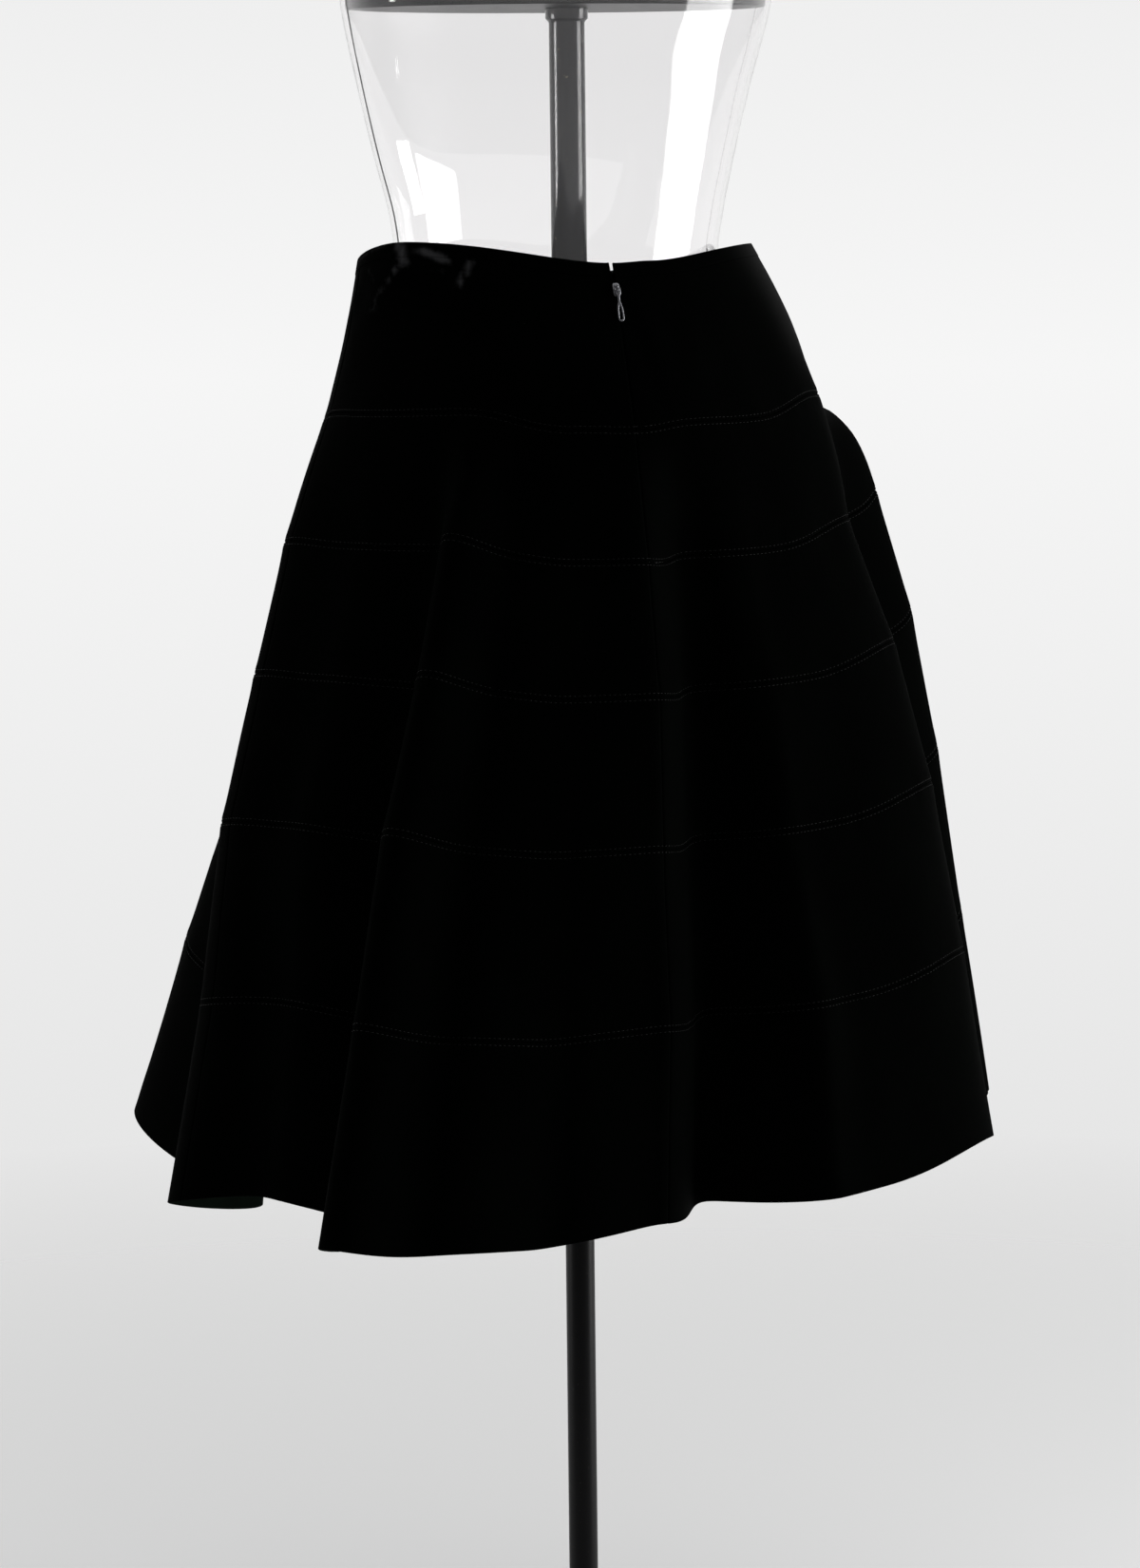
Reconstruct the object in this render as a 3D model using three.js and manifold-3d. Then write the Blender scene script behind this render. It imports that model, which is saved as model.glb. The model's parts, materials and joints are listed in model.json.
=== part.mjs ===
// Black velvet circle skirt in six bands, on a clear limbless dress form with a pole stand.
// Millimetres, +Z up, origin on the floor under the pole. The wearer's front faces -Y and the
// wearer's left is +X, and angles run round from there past the centre back near 90 degrees.
import * as THREE from "three";
import Module from "manifold-3d";

const waistHeight = 1040;
const clothThickness = 1.5;
const seamGap = 0.3;
const backSeam = 88; // degrees, the centre back seam with its zip
const bindingHeight = 9;
const bindingThickness = 1.9;
const waistOpening = 3.2; // at the top of the zip
const waistOpeningDepth = 24;
const zipLength = 176;
const tapeWidth = 11;
const tapeThickness = 1;
const tapeClearance = 0.9;
const poleDiameter = 20;
const socketDiameter = 24;
const socketFlange = 28.5;
const baseDiameter = 320;
const baseThickness = 8;
const shellThickness = 3;
const plateHeight = 1202;
const plateThickness = 8;

// Height of each band along the cloth: the yoke, then five tiers.
const bandHeights = [110, 88, 90, 102, 122, 138];
const bandNames = ["yoke", "tier1", "tier2", "tier3", "tier4", "tier5"];
const bandTop = bandHeights.map((_, i) => bandHeights.slice(0, i).reduce((a, b) => a + b, 0));
const clothLength = bandHeights.reduce((a, b) => a + b, 0);

// One row for each seam from the waist to the hem: half width, half depth, centre x, centre y.
const seamRings = [
  { a: 137, b: 90, x: 10, y: 2 },
  { a: 172, b: 130, x: -2, y: -1 },
  { a: 194, b: 150, x: -3, y: 0 },
  { a: 215, b: 173, x: -4, y: 0 },
  { a: 235, b: 197, x: -1, y: -3 },
  { a: 249, b: 222, x: -4, y: -7 },
  { a: 270, b: 238, x: -6, y: -17 },
];

// Ridges and valleys round the skirt: angle, how far the fold leans round by the hem in degrees,
// and how far it stands out at the second seam, at the fourth seam and at the hem.
const folds = [
  { angle: -42, lean: -1, high: 25, middle: 39, hem: 91 },
  { angle: -20, lean: 1, high: -6, middle: -28, hem: -45 },
  { angle: -4, lean: 4, high: 10, middle: 14, hem: 25 },
  { angle: 18, lean: -4, high: -9, middle: -6, hem: -19 },
  { angle: 35, lean: -5, high: -18, middle: -36, hem: -61 },
  { angle: 46, lean: -5, high: 22, middle: 44, hem: 79 },
  { angle: 58, lean: -8, high: 6, middle: 10, hem: 29 },
  { angle: 74, lean: -6, high: 2, middle: 0, hem: -20 },
  { angle: 86, lean: -1, high: 4, middle: -4, hem: -38 },
  { angle: 103, lean: 1, high: -24, middle: -52, hem: -92 },
  { angle: 120, lean: 1, high: -10, middle: -14, hem: -18 },
  { angle: 154, lean: 1, high: 1, middle: 17, hem: 24 },
  { angle: 169, lean: 2, high: -12, middle: -30, hem: -20 },
  { angle: 182, lean: 2, high: 31, middle: 43, hem: 53 },
  { angle: 207, lean: 0, high: -14, middle: -20, hem: -30 },
  { angle: 228, lean: 0, high: 15, middle: 35, hem: 50 },
  { angle: 251, lean: 0, high: -10, middle: -25, hem: -35 },
  { angle: 273, lean: 0, high: 12, middle: 35, hem: 55 },
  { angle: 294, lean: 0, high: -7, middle: -25, hem: -35 },
];

// How far the seams dip, how high the waist edge stands and how far the hem lifts, by angle.
const seamDip = [
  { angle: -60, rise: -10 }, { angle: -20, rise: -6 }, { angle: 8, rise: 5 },
  { angle: 40, rise: 6 }, { angle: 70, rise: -8 }, { angle: 90, rise: -10 },
  { angle: 105, rise: -7 }, { angle: 130, rise: -9 }, { angle: 155, rise: 2 },
  { angle: 190, rise: -6 }, { angle: 250, rise: -20 },
];
const waistLine = [
  { angle: -60, rise: -10 }, { angle: -20, rise: -8 }, { angle: 20, rise: 9 },
  { angle: 90, rise: -6 }, { angle: 107, rise: -5 }, { angle: 164, rise: 4 },
  { angle: 200, rise: -8 }, { angle: 250, rise: -20 },
];
const hemLift = [
  { angle: -60, rise: 6 }, { angle: -20, rise: -8 }, { angle: 18, rise: 12 },
  { angle: 45, rise: -13 }, { angle: 68, rise: 5 }, { angle: 88, rise: 16 },
  { angle: 115, rise: 18 }, { angle: 140, rise: 19 }, { angle: 170, rise: 2 },
  { angle: 200, rise: 6 }, { angle: 250, rise: 0 },
];

// Degrees that the yoke is turned at the waist, which slants the zip.
const waistTurn = [
  { angle: 30, turn: 0 }, { angle: 88, turn: 5.6 }, { angle: 150, turn: 0 },
];

// How far the cloth stands out between its seams in the yoke and in the first tier.
const bulges = [
  { angle: -60, yoke: 0, tier: 0 }, { angle: 0, yoke: -2, tier: 1 },
  { angle: 40, yoke: 0, tier: 0 }, { angle: 120, yoke: 0, tier: 0 },
  { angle: 155, yoke: 2, tier: 3 }, { angle: 182, yoke: 4, tier: 9 },
  { angle: 215, yoke: 2, tier: 2 }, { angle: 260, yoke: 0, tier: 0 },
];

// The dress form's outer sections from the open bottom to the neck: height, half width,
// half depth, centre x, centre y.
const formSections = [
  { z: 838, a: 138, b: 108, x: 6, y: -1 },
  { z: 870, a: 147, b: 114, x: 6, y: -2 },
  { z: 910, a: 149, b: 116, x: 6, y: -3 },
  { z: 945, a: 142, b: 109.5, x: 7, y: -2 },
  { z: 985, a: 127, b: 96, x: 8, y: 1 },
  { z: 1022, a: 114, b: 88.0, x: 9, y: 2.1 },
  { z: 1040, a: 112, b: 85, x: 9, y: 1 },
  { z: 1065, a: 115.5, b: 83.5, x: 7.8, y: -1 },
  { z: 1100, a: 124, b: 86.5, x: 7.4, y: -4 },
  { z: 1150, a: 136, b: 97, x: 5, y: -10 },
  { z: 1205, a: 148.5, b: 112, x: 1.5, y: -14 },
  { z: 1250, a: 154, b: 109, x: 1, y: -12 },
  { z: 1300, a: 158, b: 96, x: 1.5, y: -6 },
  { z: 1345, a: 159, b: 84, x: 2, y: 0 },
  { z: 1380, a: 147, b: 73, x: 3, y: 3 },
  { z: 1402, a: 117, b: 64, x: 3.5, y: 4 },
  { z: 1418, a: 82, b: 57, x: 4, y: 3 },
  { z: 1436, a: 60, b: 51, x: 4, y: 1 },
  { z: 1462, a: 52, b: 49, x: 4, y: -2 },
  { z: 1484, a: 50, b: 48, x: 4, y: -4 },
  { z: 1494, a: 40, b: 39, x: 4, y: -4 },
  { z: 1499, a: 22, b: 21, x: 4, y: -4 },
];

const velvet = new THREE.MeshStandardMaterial({ color: 0x0c0c0f, roughness: 0.95 });
const zipCloth = new THREE.MeshStandardMaterial({ color: 0x131316, roughness: 0.9 });
const zipMetal = new THREE.MeshStandardMaterial({ color: 0x6f7278, roughness: 0.35, metalness: 1 });
const clearPlastic = new THREE.MeshStandardMaterial({
  color: 0xe6e9f2, roughness: 0.08, transparent: true, opacity: 0.25,
});
const darkPlastic = new THREE.MeshStandardMaterial({ color: 0x2b2c31, roughness: 0.5 });
const blackPaint = new THREE.MeshStandardMaterial({ color: 0x17181b, roughness: 0.25 });

const degrees = Math.PI / 180;
const mix = (a, b, f) => a + (b - a) * f;

// Eases from row to row round the circle, for the named column.
function roundTable(rows, column, angle) {
  const turn = ((angle - rows[0].angle) % 360 + 360) % 360 + rows[0].angle;
  const n = rows.length;
  let i = n - 1;
  while (rows[i].angle > turn) i--;
  const next = i + 1 < n ? rows[i + 1] : { ...rows[0], angle: rows[0].angle + 360 };
  const f = (turn - rows[i].angle) / (next.angle - rows[i].angle);
  return mix(rows[i][column], next[column], (1 - Math.cos(Math.PI * f)) / 2);
}

// Seam ring at level 0 to 6, where 0 is the waist and 6 is the hem.
function ringPoint(angle, level) {
  const k = Math.min(5, Math.floor(level));
  const f = level - k;
  const low = seamRings[k], high = seamRings[k + 1];
  const a = mix(low.a, high.a, f), b = mix(low.b, high.b, f);
  const below = Math.max(0, level - 1);
  const lean = roundTable(folds, "lean", angle) * below / 5;
  const turn = roundTable(waistTurn, "turn", angle) * Math.max(0, 1 - level);
  const t = (angle + lean + turn) * degrees;
  let r = a * b / Math.hypot(b * Math.cos(t), a * Math.sin(t));
  const high2 = roundTable(folds, "high", angle);
  const middle = roundTable(folds, "middle", angle);
  const hem = roundTable(folds, "hem", angle);
  if (level <= 2) r += high2 * below;
  else if (level <= 4) r += mix(high2, middle, (level - 2) / 2);
  else r += mix(middle, hem, (level - 4) / 2);
  if (level < 1) r += roundTable(bulges, "yoke", angle) * Math.sin(Math.PI * level);
  else if (level < 2) r += roundTable(bulges, "tier", angle) * Math.sin(Math.PI * below);
  return [mix(low.x, high.x, f) + r * Math.cos(t), mix(low.y, high.y, f) + r * Math.sin(t)];
}

// The line down the cloth at one angle, a quarter of a band at a time: each step is as long as
// the cloth, so what goes outwards is taken from the height.
const lines = new Map();
function clothLine(angle) {
  const key = angle.toFixed(4);
  if (lines.has(key)) return lines.get(key);
  const points = [];
  const dip = roundTable(seamDip, "rise", angle);
  const edge = roundTable(waistLine, "rise", angle) - dip;
  let z = waistHeight + dip;
  let [x, y] = ringPoint(angle, 0);
  points.push([x, y, z + edge]);
  for (let step = 1; step <= 24; step++) {
    const level = step / 4;
    const [nx, ny] = ringPoint(angle, level);
    const length = bandHeights[Math.ceil(level) - 1] / 4;
    z -= Math.sqrt(length ** 2 - (nx - x) ** 2 - (ny - y) ** 2);
    [x, y] = [nx, ny];
    const lift = roundTable(hemLift, "rise", angle) * (Math.max(0, level - 1) / 5) ** 2;
    points.push([x, y, z + lift + edge * Math.max(0, 1 - level)]);
  }
  lines.set(key, points);
  return points;
}

// A point of the skirt's outside, at a distance down the cloth from the waist.
function clothPoint(angle, down) {
  let k = 5;
  while (k > 0 && bandTop[k] > down) k--;
  const level = 4 * (k + (down - bandTop[k]) / bandHeights[k]);
  const points = clothLine(angle);
  const i = Math.max(0, Math.min(23, Math.floor(level)));
  const f = level - i;
  return new THREE.Vector3(...[0, 1, 2].map((c) => mix(points[i][c], points[i + 1][c], f)));
}

function clothNormal(angle, down) {
  const round = clothPoint(angle + 0.5, down).sub(clothPoint(angle - 0.5, down));
  const along = clothPoint(angle, Math.min(clothLength, down + 3))
    .sub(clothPoint(angle, Math.max(0, down - 3)));
  return along.cross(round).normalize();
}

// Moves a point of the outside out of the cloth, or into it where the distance is negative.
const offCloth = (angle, down, out) =>
  clothPoint(angle, down).addScaledVector(clothNormal(angle, down), out);

function solidOf(vertices, triangles) {
  const geometry = new THREE.BufferGeometry();
  geometry.setAttribute("position", new THREE.Float32BufferAttribute(vertices.flat(), 3));
  geometry.setIndex(triangles.flat());
  geometry.computeVertexNormals();
  return geometry;
}

// A closed sheet from a grid of outer points and the same grid of inner points. Rows run down
// and columns run round with the angle.
function sheetSolid(outer, inner) {
  const rows = outer.length, columns = outer[0].length;
  const vertices = [...outer.flat(), ...inner.flat()].map((p) => [p.x, p.y, p.z]);
  const o = (i, j) => i * columns + j;
  const n = (i, j) => rows * columns + o(i, j);
  const triangles = [];
  const quad = (a, b, c, d) => triangles.push([a, b, c], [a, c, d]);
  for (let i = 0; i + 1 < rows; i++)
    for (let j = 0; j + 1 < columns; j++) {
      quad(o(i, j), o(i + 1, j), o(i + 1, j + 1), o(i, j + 1));
      quad(n(i, j), n(i, j + 1), n(i + 1, j + 1), n(i + 1, j));
    }
  const last = rows - 1, right = columns - 1;
  for (let j = 0; j < right; j++) {
    quad(o(0, j), o(0, j + 1), n(0, j + 1), n(0, j));
    quad(o(last, j), n(last, j), n(last, j + 1), o(last, j + 1));
  }
  for (let i = 0; i < last; i++) {
    quad(o(i, 0), n(i, 0), n(i + 1, 0), o(i + 1, 0));
    quad(o(i, right), o(i + 1, right), n(i + 1, right), n(i, right));
  }
  return solidOf(vertices, triangles);
}

// Angles of the columns between two seams: each fold, and enough steps in between.
function columnAngles(from, to) {
  const stops = new Set([from, to]);
  for (const fold of folds)
    for (const angle of [fold.angle, fold.angle + 360])
      if (angle > from + 1 && angle < to - 1) stops.add(angle);
  const sorted = [...stops].sort((a, b) => a - b);
  const angles = [from];
  for (let i = 1; i < sorted.length; i++) {
    const width = sorted[i] - sorted[i - 1];
    const drop = Math.abs(roundTable(folds, "hem", sorted[i])
      - roundTable(folds, "hem", sorted[i - 1]));
    const steps = Math.max(1, Math.ceil(width / (drop > 45 ? 3.3 : 4.4)));
    for (let s = 1; s <= steps; s++) angles.push(sorted[i - 1] + width * s / steps);
  }
  return angles;
}

const radiusAt = (angle, down) => {
  const p = clothPoint(angle, down);
  return Math.hypot(p.x, p.y);
};
// Degrees that a distance covers at that place.
const turned = (distance, angle, down) => distance / radiusAt(angle, down) / degrees;

// Half of the slit between the two sides of the centre back seam: it is open above the slider.
function halfSlit(down) {
  const open = Math.max(0, 1 - down / waistOpeningDepth);
  return seamGap / 2 + (waistOpening - seamGap) / 2 * open ** 0.8;
}

// A piece of cloth between two seams round the skirt and two distances down it.
function clothPiece({ from, to, top, bottom, steps, thickness = clothThickness, out = 0 }) {
  const angles = columnAngles(from, to);
  const outer = [], inner = [];
  for (let i = 0; i <= steps; i++) {
    const down = mix(top, bottom, i / steps);
    const slitFrom = from === backSeam ? halfSlit(down) : seamGap / 2;
    const slitTo = to === backSeam || to === backSeam + 360 ? halfSlit(down) : seamGap / 2;
    const row = angles.map((angle, j) => {
      if (j === 0) return angle + turned(slitFrom, angle, down);
      if (j === angles.length - 1) return angle - turned(slitTo, angle, down);
      return angle;
    });
    outer.push(row.map((angle) => offCloth(angle, down, out)));
    inner.push(row.map((angle) => offCloth(angle, down, out - thickness)));
  }
  return sheetSolid(outer, inner);
}

const part = new THREE.Group();
function add(name, geometry, material) {
  const mesh = new THREE.Mesh(geometry, material);
  mesh.name = name;
  part.add(mesh);
}

// The turned waist edge, in one length from one side of the zip to the other.
add("waist_edge", clothPiece({
  from: backSeam, to: backSeam + 360, top: 0, bottom: bindingHeight, steps: 1,
  thickness: bindingThickness, out: 0.3,
}), velvet);

// Each band is three pieces: two at the back, which meet at the zip's seam, and one at the front.
const panels = [
  { name: "back_left", from: 0, to: backSeam },
  { name: "back_right", from: backSeam, to: 180 },
  { name: "front", from: 180, to: 360 },
];
bandNames.forEach((band, k) => {
  const top = k === 0 ? bindingHeight + seamGap : bandTop[k] + seamGap / 2;
  const bottom = bandTop[k] + bandHeights[k] - (k < 5 ? seamGap / 2 : 0);
  const steps = k === 0 ? 4 : k === 5 ? 3 : 2;
  for (const panel of panels)
    add(`${band}_${panel.name}`, clothPiece({ ...panel, top, bottom, steps }), velvet);
});

// The zip's tapes lie inside the cloth, one each side of the seam.
function zipTape(side) {
  const rows = [bindingHeight + 3, 27.5, 55, 82.5, 110, 132, 154, zipLength];
  const outer = [], inner = [];
  for (const down of rows) {
    const near = 0.9, far = tapeWidth;
    const offsets = side > 0 ? [near, far] : [-far, -near];
    const row = offsets.map((offset) => backSeam + turned(offset, backSeam, down));
    const face = -clothThickness - tapeClearance;
    outer.push(row.map((angle) => offCloth(angle, down, face)));
    inner.push(row.map((angle) => offCloth(angle, down, face - tapeThickness)));
  }
  return sheetSolid(outer, inner);
}
add("zip_tape_left", zipTape(-1), zipCloth);
add("zip_tape_right", zipTape(1), zipCloth);

const wasm = await Module();
wasm.setup();
function toManifold(geometry) {
  const single = geometry.index ? geometry.toNonIndexed() : geometry;
  const mesh = new wasm.Mesh({
    numProp: 3,
    vertProperties: new Float32Array(single.getAttribute("position").array),
    triVerts: Uint32Array.from({ length: single.getAttribute("position").count }, (_, i) => i),
  });
  mesh.merge();
  return new wasm.Manifold(mesh);
}
function fromManifold(solid) {
  const mesh = solid.getMesh();
  const geometry = new THREE.BufferGeometry();
  geometry.setAttribute("position", new THREE.BufferAttribute(mesh.vertProperties, 3));
  geometry.setIndex(new THREE.BufferAttribute(mesh.triVerts, 1));
  geometry.computeVertexNormals();
  return geometry;
}
const joined = (geometries) =>
  fromManifold(geometries.map(toManifold).reduce((all, solid) => all.add(solid)));

// The slider's own frame: x across the seam, y up the cloth and z out of it, with the origin on
// the pivot bar's middle.
const sliderDown = 18;
const pivotOut = 3.4;
const sliderNormal = clothNormal(backSeam, sliderDown);
const sliderUp = clothPoint(backSeam, sliderDown - 4)
  .sub(clothPoint(backSeam, sliderDown + 4)).normalize();
const sliderAcross = sliderUp.clone().cross(sliderNormal).normalize();
sliderUp.crossVectors(sliderNormal, sliderAcross);
const sliderOrigin = offCloth(backSeam, sliderDown, pivotOut);
const sliderFrame = new THREE.Matrix4()
  .makeBasis(sliderAcross, sliderUp, sliderNormal)
  .setPosition(sliderOrigin);

// A block with rounded corners in the plane of the cloth.
function roundedPlate(halfWidth, bottom, top, corner, back, front) {
  const shape = new THREE.Shape();
  shape.absarc(halfWidth - corner, top - corner, corner, 0, Math.PI / 2);
  shape.absarc(corner - halfWidth, top - corner, corner, Math.PI / 2, Math.PI);
  shape.absarc(corner - halfWidth, bottom + corner, corner, Math.PI, Math.PI * 1.5);
  shape.absarc(halfWidth - corner, bottom + corner, corner, Math.PI * 1.5, Math.PI * 2);
  return new THREE.ExtrudeGeometry(shape, {
    depth: front - back, bevelEnabled: false, curveSegments: 4,
  }).translate(0, 0, back);
}

function zipSlider() {
  const face = 0.3 - pivotOut; // the plate's back, 0.3 mm clear of the cloth
  const plate = roundedPlate(2.4, -4.6, 4.4, 1.6, face, face + 1.7);
  const stem = new THREE.BoxGeometry(0.9, 2.6, 6.2).translate(0, 2.6, face - 2);
  const inside = roundedPlate(3, -3.4, 4.4, 1.6, face - 5.2, face - 4);
  const bail = new THREE.Shape();
  bail.moveTo(-2.1, face + 1);
  bail.lineTo(-1.3, face + 1);
  bail.lineTo(-1.3, 0);
  bail.absarc(0, 0, 1.3, Math.PI, 0, true);
  bail.lineTo(1.3, face + 1);
  bail.lineTo(2.1, face + 1);
  bail.lineTo(2.1, 0);
  bail.absarc(0, 0, 2.1, 0, Math.PI);
  const arch = new THREE.ExtrudeGeometry(bail, {
    depth: 1.6, bevelEnabled: false, curveSegments: 8,
  }).translate(0, 0, -0.8).rotateY(Math.PI / 2);
  // The arch is drawn with its height along y: turned so that it stands out of the plate.
  arch.applyMatrix4(new THREE.Matrix4().makeBasis(
    new THREE.Vector3(1, 0, 0), new THREE.Vector3(0, 0, 1), new THREE.Vector3(0, -1, 0)));
  return joined([plate, stem, inside, arch]).applyMatrix4(sliderFrame);
}
add("zip_slider", zipSlider(), zipMetal);

// The pull hangs from a bar in the slider's arch: two short arms, a neck and a drop shaped loop.
const pullLength = 22;
const pullTilt = 5; // degrees towards the cloth
const loopTop = -8.4; // where the neck widens to the loop
const loopWidth = 4.4;
const loopMiddle = loopWidth / 2 - pullLength;
const holeWidth = 2.2;
function zipPull() {
  const outline = new THREE.Shape();
  outline.moveTo(2, 0.6);
  outline.lineTo(-2, 0.6);
  outline.lineTo(-2, -3.4);
  outline.lineTo(-0.9, -5);
  outline.lineTo(-0.8, loopTop);
  outline.quadraticCurveTo(-loopWidth / 2, loopTop - 4, -loopWidth / 2, loopMiddle);
  outline.absarc(0, loopMiddle, loopWidth / 2, Math.PI, Math.PI * 2);
  outline.quadraticCurveTo(loopWidth / 2, loopTop - 4, 0.8, loopTop);
  outline.lineTo(0.9, -5);
  outline.lineTo(2, -3.4);
  outline.closePath();
  const slot = new THREE.Path();
  slot.moveTo(-1.15, -0.6);
  slot.lineTo(1.15, -0.6);
  slot.lineTo(1.15, -2.6);
  slot.lineTo(-1.15, -2.6);
  slot.closePath();
  const drop = new THREE.Path();
  drop.absarc(0, loopMiddle, holeWidth / 2, 0, Math.PI, true);
  drop.quadraticCurveTo(-holeWidth / 2, loopTop - 4.5, 0, loopTop - 2.4);
  drop.quadraticCurveTo(holeWidth / 2, loopTop - 4.5, holeWidth / 2, loopMiddle);
  outline.holes.push(slot, drop);
  return new THREE.ExtrudeGeometry(outline, {
    depth: 1.2, bevelEnabled: false, curveSegments: 7,
  }).translate(0, 0, -0.6).rotateX(pullTilt * degrees).applyMatrix4(sliderFrame);
}
add("zip_pull", zipPull(), zipMetal);

// The form is a thin clear shell, open at the bottom and closed at the neck.
const aroundForm = 44;
// The form is moulded in two halves that meet along the sides; side is 1 for the back half.
function formHalf(side) {
  const last = formSections.length - 1;
  // The wall is thicker along the level where the surface leans, so its height is set back too.
  const insideSection = (section, i) => {
    const low = formSections[Math.max(0, i - 1)], high = formSections[Math.min(last, i + 1)];
    const lean = Math.atan2(low.a - high.a, high.z - low.z);
    return {
      ...section,
      a: section.a - shellThickness * Math.cos(lean),
      b: section.b - shellThickness * Math.cos(lean),
      z: section.z - (i ? shellThickness * Math.sin(lean) : 0),
    };
  };
  // Half rings from one side seam to the other, each end set back by half the gap.
  const columns = aroundForm / 2;
  const halfRing = (section) => Array.from({ length: columns + 1 }, (_, k) => {
    const t = Math.PI * (k / columns + (side > 0 ? 0 : 1));
    const setBack = k % columns === 0 ? side * seamGap / 2 : 0;
    return [section.x + section.a * Math.cos(t),
      section.y + section.b * Math.sin(t) + setBack, section.z];
  });
  const vertices = [...formSections.map(halfRing), ...formSections.map(insideSection).map(halfRing)].flat();
  const half = formSections.length;
  const triangles = [];
  const quad = (a, b, c, d) => triangles.push([a, b, c], [a, c, d]);
  const at = (i, k) => i * (columns + 1) + k;
  for (let k = 0; k < columns; k++) {
    for (let i = 0; i < last; i++) {
      quad(at(i, k), at(i, k + 1), at(i + 1, k + 1), at(i + 1, k));
      quad(at(half + i, k), at(half + i + 1, k), at(half + i + 1, k + 1), at(half + i, k + 1));
    }
    quad(at(0, k), at(half, k), at(half, k + 1), at(0, k + 1));
  }
  for (let i = 0; i < last; i++) {
    quad(at(i, 0), at(i + 1, 0), at(half + i + 1, 0), at(half + i, 0));
    quad(at(i + 1, columns), at(i, columns), at(half + i, columns), at(half + i + 1, columns));
  }
  const top = formSections[last], topY = top.y + side * seamGap / 2;
  vertices.push([top.x, topY, top.z + 2], [top.x, topY, top.z + 2 - shellThickness]);
  const crown = vertices.length - 2, under = vertices.length - 1;
  for (let k = 0; k < columns; k++) {
    triangles.push([at(last, k), at(last, k + 1), crown]);
    triangles.push([at(half + last, k + 1), at(half + last, k), under]);
  }
  quad(at(last, 0), crown, under, at(half + last, 0));
  quad(crown, at(last, columns), at(half + last, columns), under);
  return solidOf(vertices, triangles);
}
add("form_back", formHalf(1), clearPlastic);
add("form_front", formHalf(-1), clearPlastic);

function formSectionAt(z) {
  const i = formSections.findIndex((section) => section.z > z) - 1;
  const low = formSections[i], high = formSections[i + 1];
  const f = (z - low.z) / (high.z - low.z);
  return Object.fromEntries(["a", "b", "x", "y"].map((c) => [c, mix(low[c], high[c], f)]));
}
const turnedProfile = (points, segments) => new THREE.LatheGeometry(
  points.map(([r, z]) => new THREE.Vector2(r, z)), segments).rotateX(Math.PI / 2);

// A level plate holds the socket inside the form.
function formPlate() {
  const section = formSectionAt(plateHeight);
  const inset = shellThickness + 1.2;
  const ring = (z) => Array.from({ length: aroundForm }, (_, j) => {
    const t = 2 * Math.PI * j / aroundForm;
    return [section.x + (section.a - inset) * Math.cos(t),
      section.y + (section.b - inset) * Math.sin(t), z];
  });
  const vertices = [...ring(plateHeight), ...ring(plateHeight + plateThickness),
    [section.x, section.y, plateHeight], [section.x, section.y, plateHeight + plateThickness]];
  const n = aroundForm;
  const triangles = [];
  for (let j = 0; j < n; j++) {
    const k = (j + 1) % n;
    triangles.push([j, k, n + k], [j, n + k, n + j], [k, j, 2 * n], [n + j, n + k, 2 * n + 1]);
  }
  return solidOf(vertices, triangles);
}
add("form_plate", formPlate(), darkPlastic);

const socketBottom = 800, socketTop = plateHeight - seamGap;
const poleRadius = poleDiameter / 2;
add("form_socket", turnedProfile([
  [poleRadius + 0.3, socketBottom], [socketDiameter / 2, socketBottom],
  [socketDiameter / 2, socketTop - 9], [socketFlange / 2, socketTop - 7],
  [socketFlange / 2, socketTop], [poleRadius + 0.3, socketTop],
  [poleRadius + 0.3, socketBottom],
], 32), blackPaint);
add("pole", turnedProfile([
  [0, baseThickness + seamGap], [poleRadius, baseThickness + seamGap],
  [poleRadius, socketTop], [0, socketTop],
], 32), blackPaint);
const hubHeight = 46, hubRadius = 21, baseRadius = baseDiameter / 2;
add("base", turnedProfile([
  [0, 0], [baseRadius - 1, 0], [baseRadius, 1], [baseRadius, baseThickness - 2],
  [baseRadius - 2, baseThickness], [hubRadius + 4, baseThickness + 2],
  [hubRadius, baseThickness + 6], [hubRadius, hubHeight - 3], [hubRadius - 3, hubHeight],
  [poleRadius + 0.3, hubHeight], [poleRadius + 0.3, baseThickness], [0, baseThickness],
], 48), blackPaint);

export default part;
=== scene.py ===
import bmesh
import bpy
import json
import math
import numpy as np
from mathutils import Matrix, Vector


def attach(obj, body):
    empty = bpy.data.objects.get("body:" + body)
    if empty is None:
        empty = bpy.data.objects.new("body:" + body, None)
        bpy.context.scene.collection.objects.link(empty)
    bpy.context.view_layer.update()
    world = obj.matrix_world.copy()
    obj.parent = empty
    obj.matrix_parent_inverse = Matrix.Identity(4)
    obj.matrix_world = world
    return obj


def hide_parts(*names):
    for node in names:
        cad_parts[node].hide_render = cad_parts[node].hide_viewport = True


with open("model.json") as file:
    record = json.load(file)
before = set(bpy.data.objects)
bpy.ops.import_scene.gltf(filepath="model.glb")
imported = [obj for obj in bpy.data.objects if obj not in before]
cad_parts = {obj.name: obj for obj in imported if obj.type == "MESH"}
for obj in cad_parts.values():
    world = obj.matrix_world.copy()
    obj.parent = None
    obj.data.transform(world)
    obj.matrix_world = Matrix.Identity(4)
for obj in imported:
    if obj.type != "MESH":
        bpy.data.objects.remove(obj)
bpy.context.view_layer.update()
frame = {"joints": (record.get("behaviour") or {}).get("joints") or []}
mainBody = "skirt_on_form"
pullBody = "zip_pull"
mm = 0.001


cameraSettings = {
    "azimuth": 160,      # degrees round from the wearer's front
    "distance": 3.2,     # metres from the pole
    "height": 1.108,
    "aimHeight": 0.676,
    "roll": -0.64,
    "lens": 108.4,
    "shift": (-0.0032, 0.0019),
}


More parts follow.
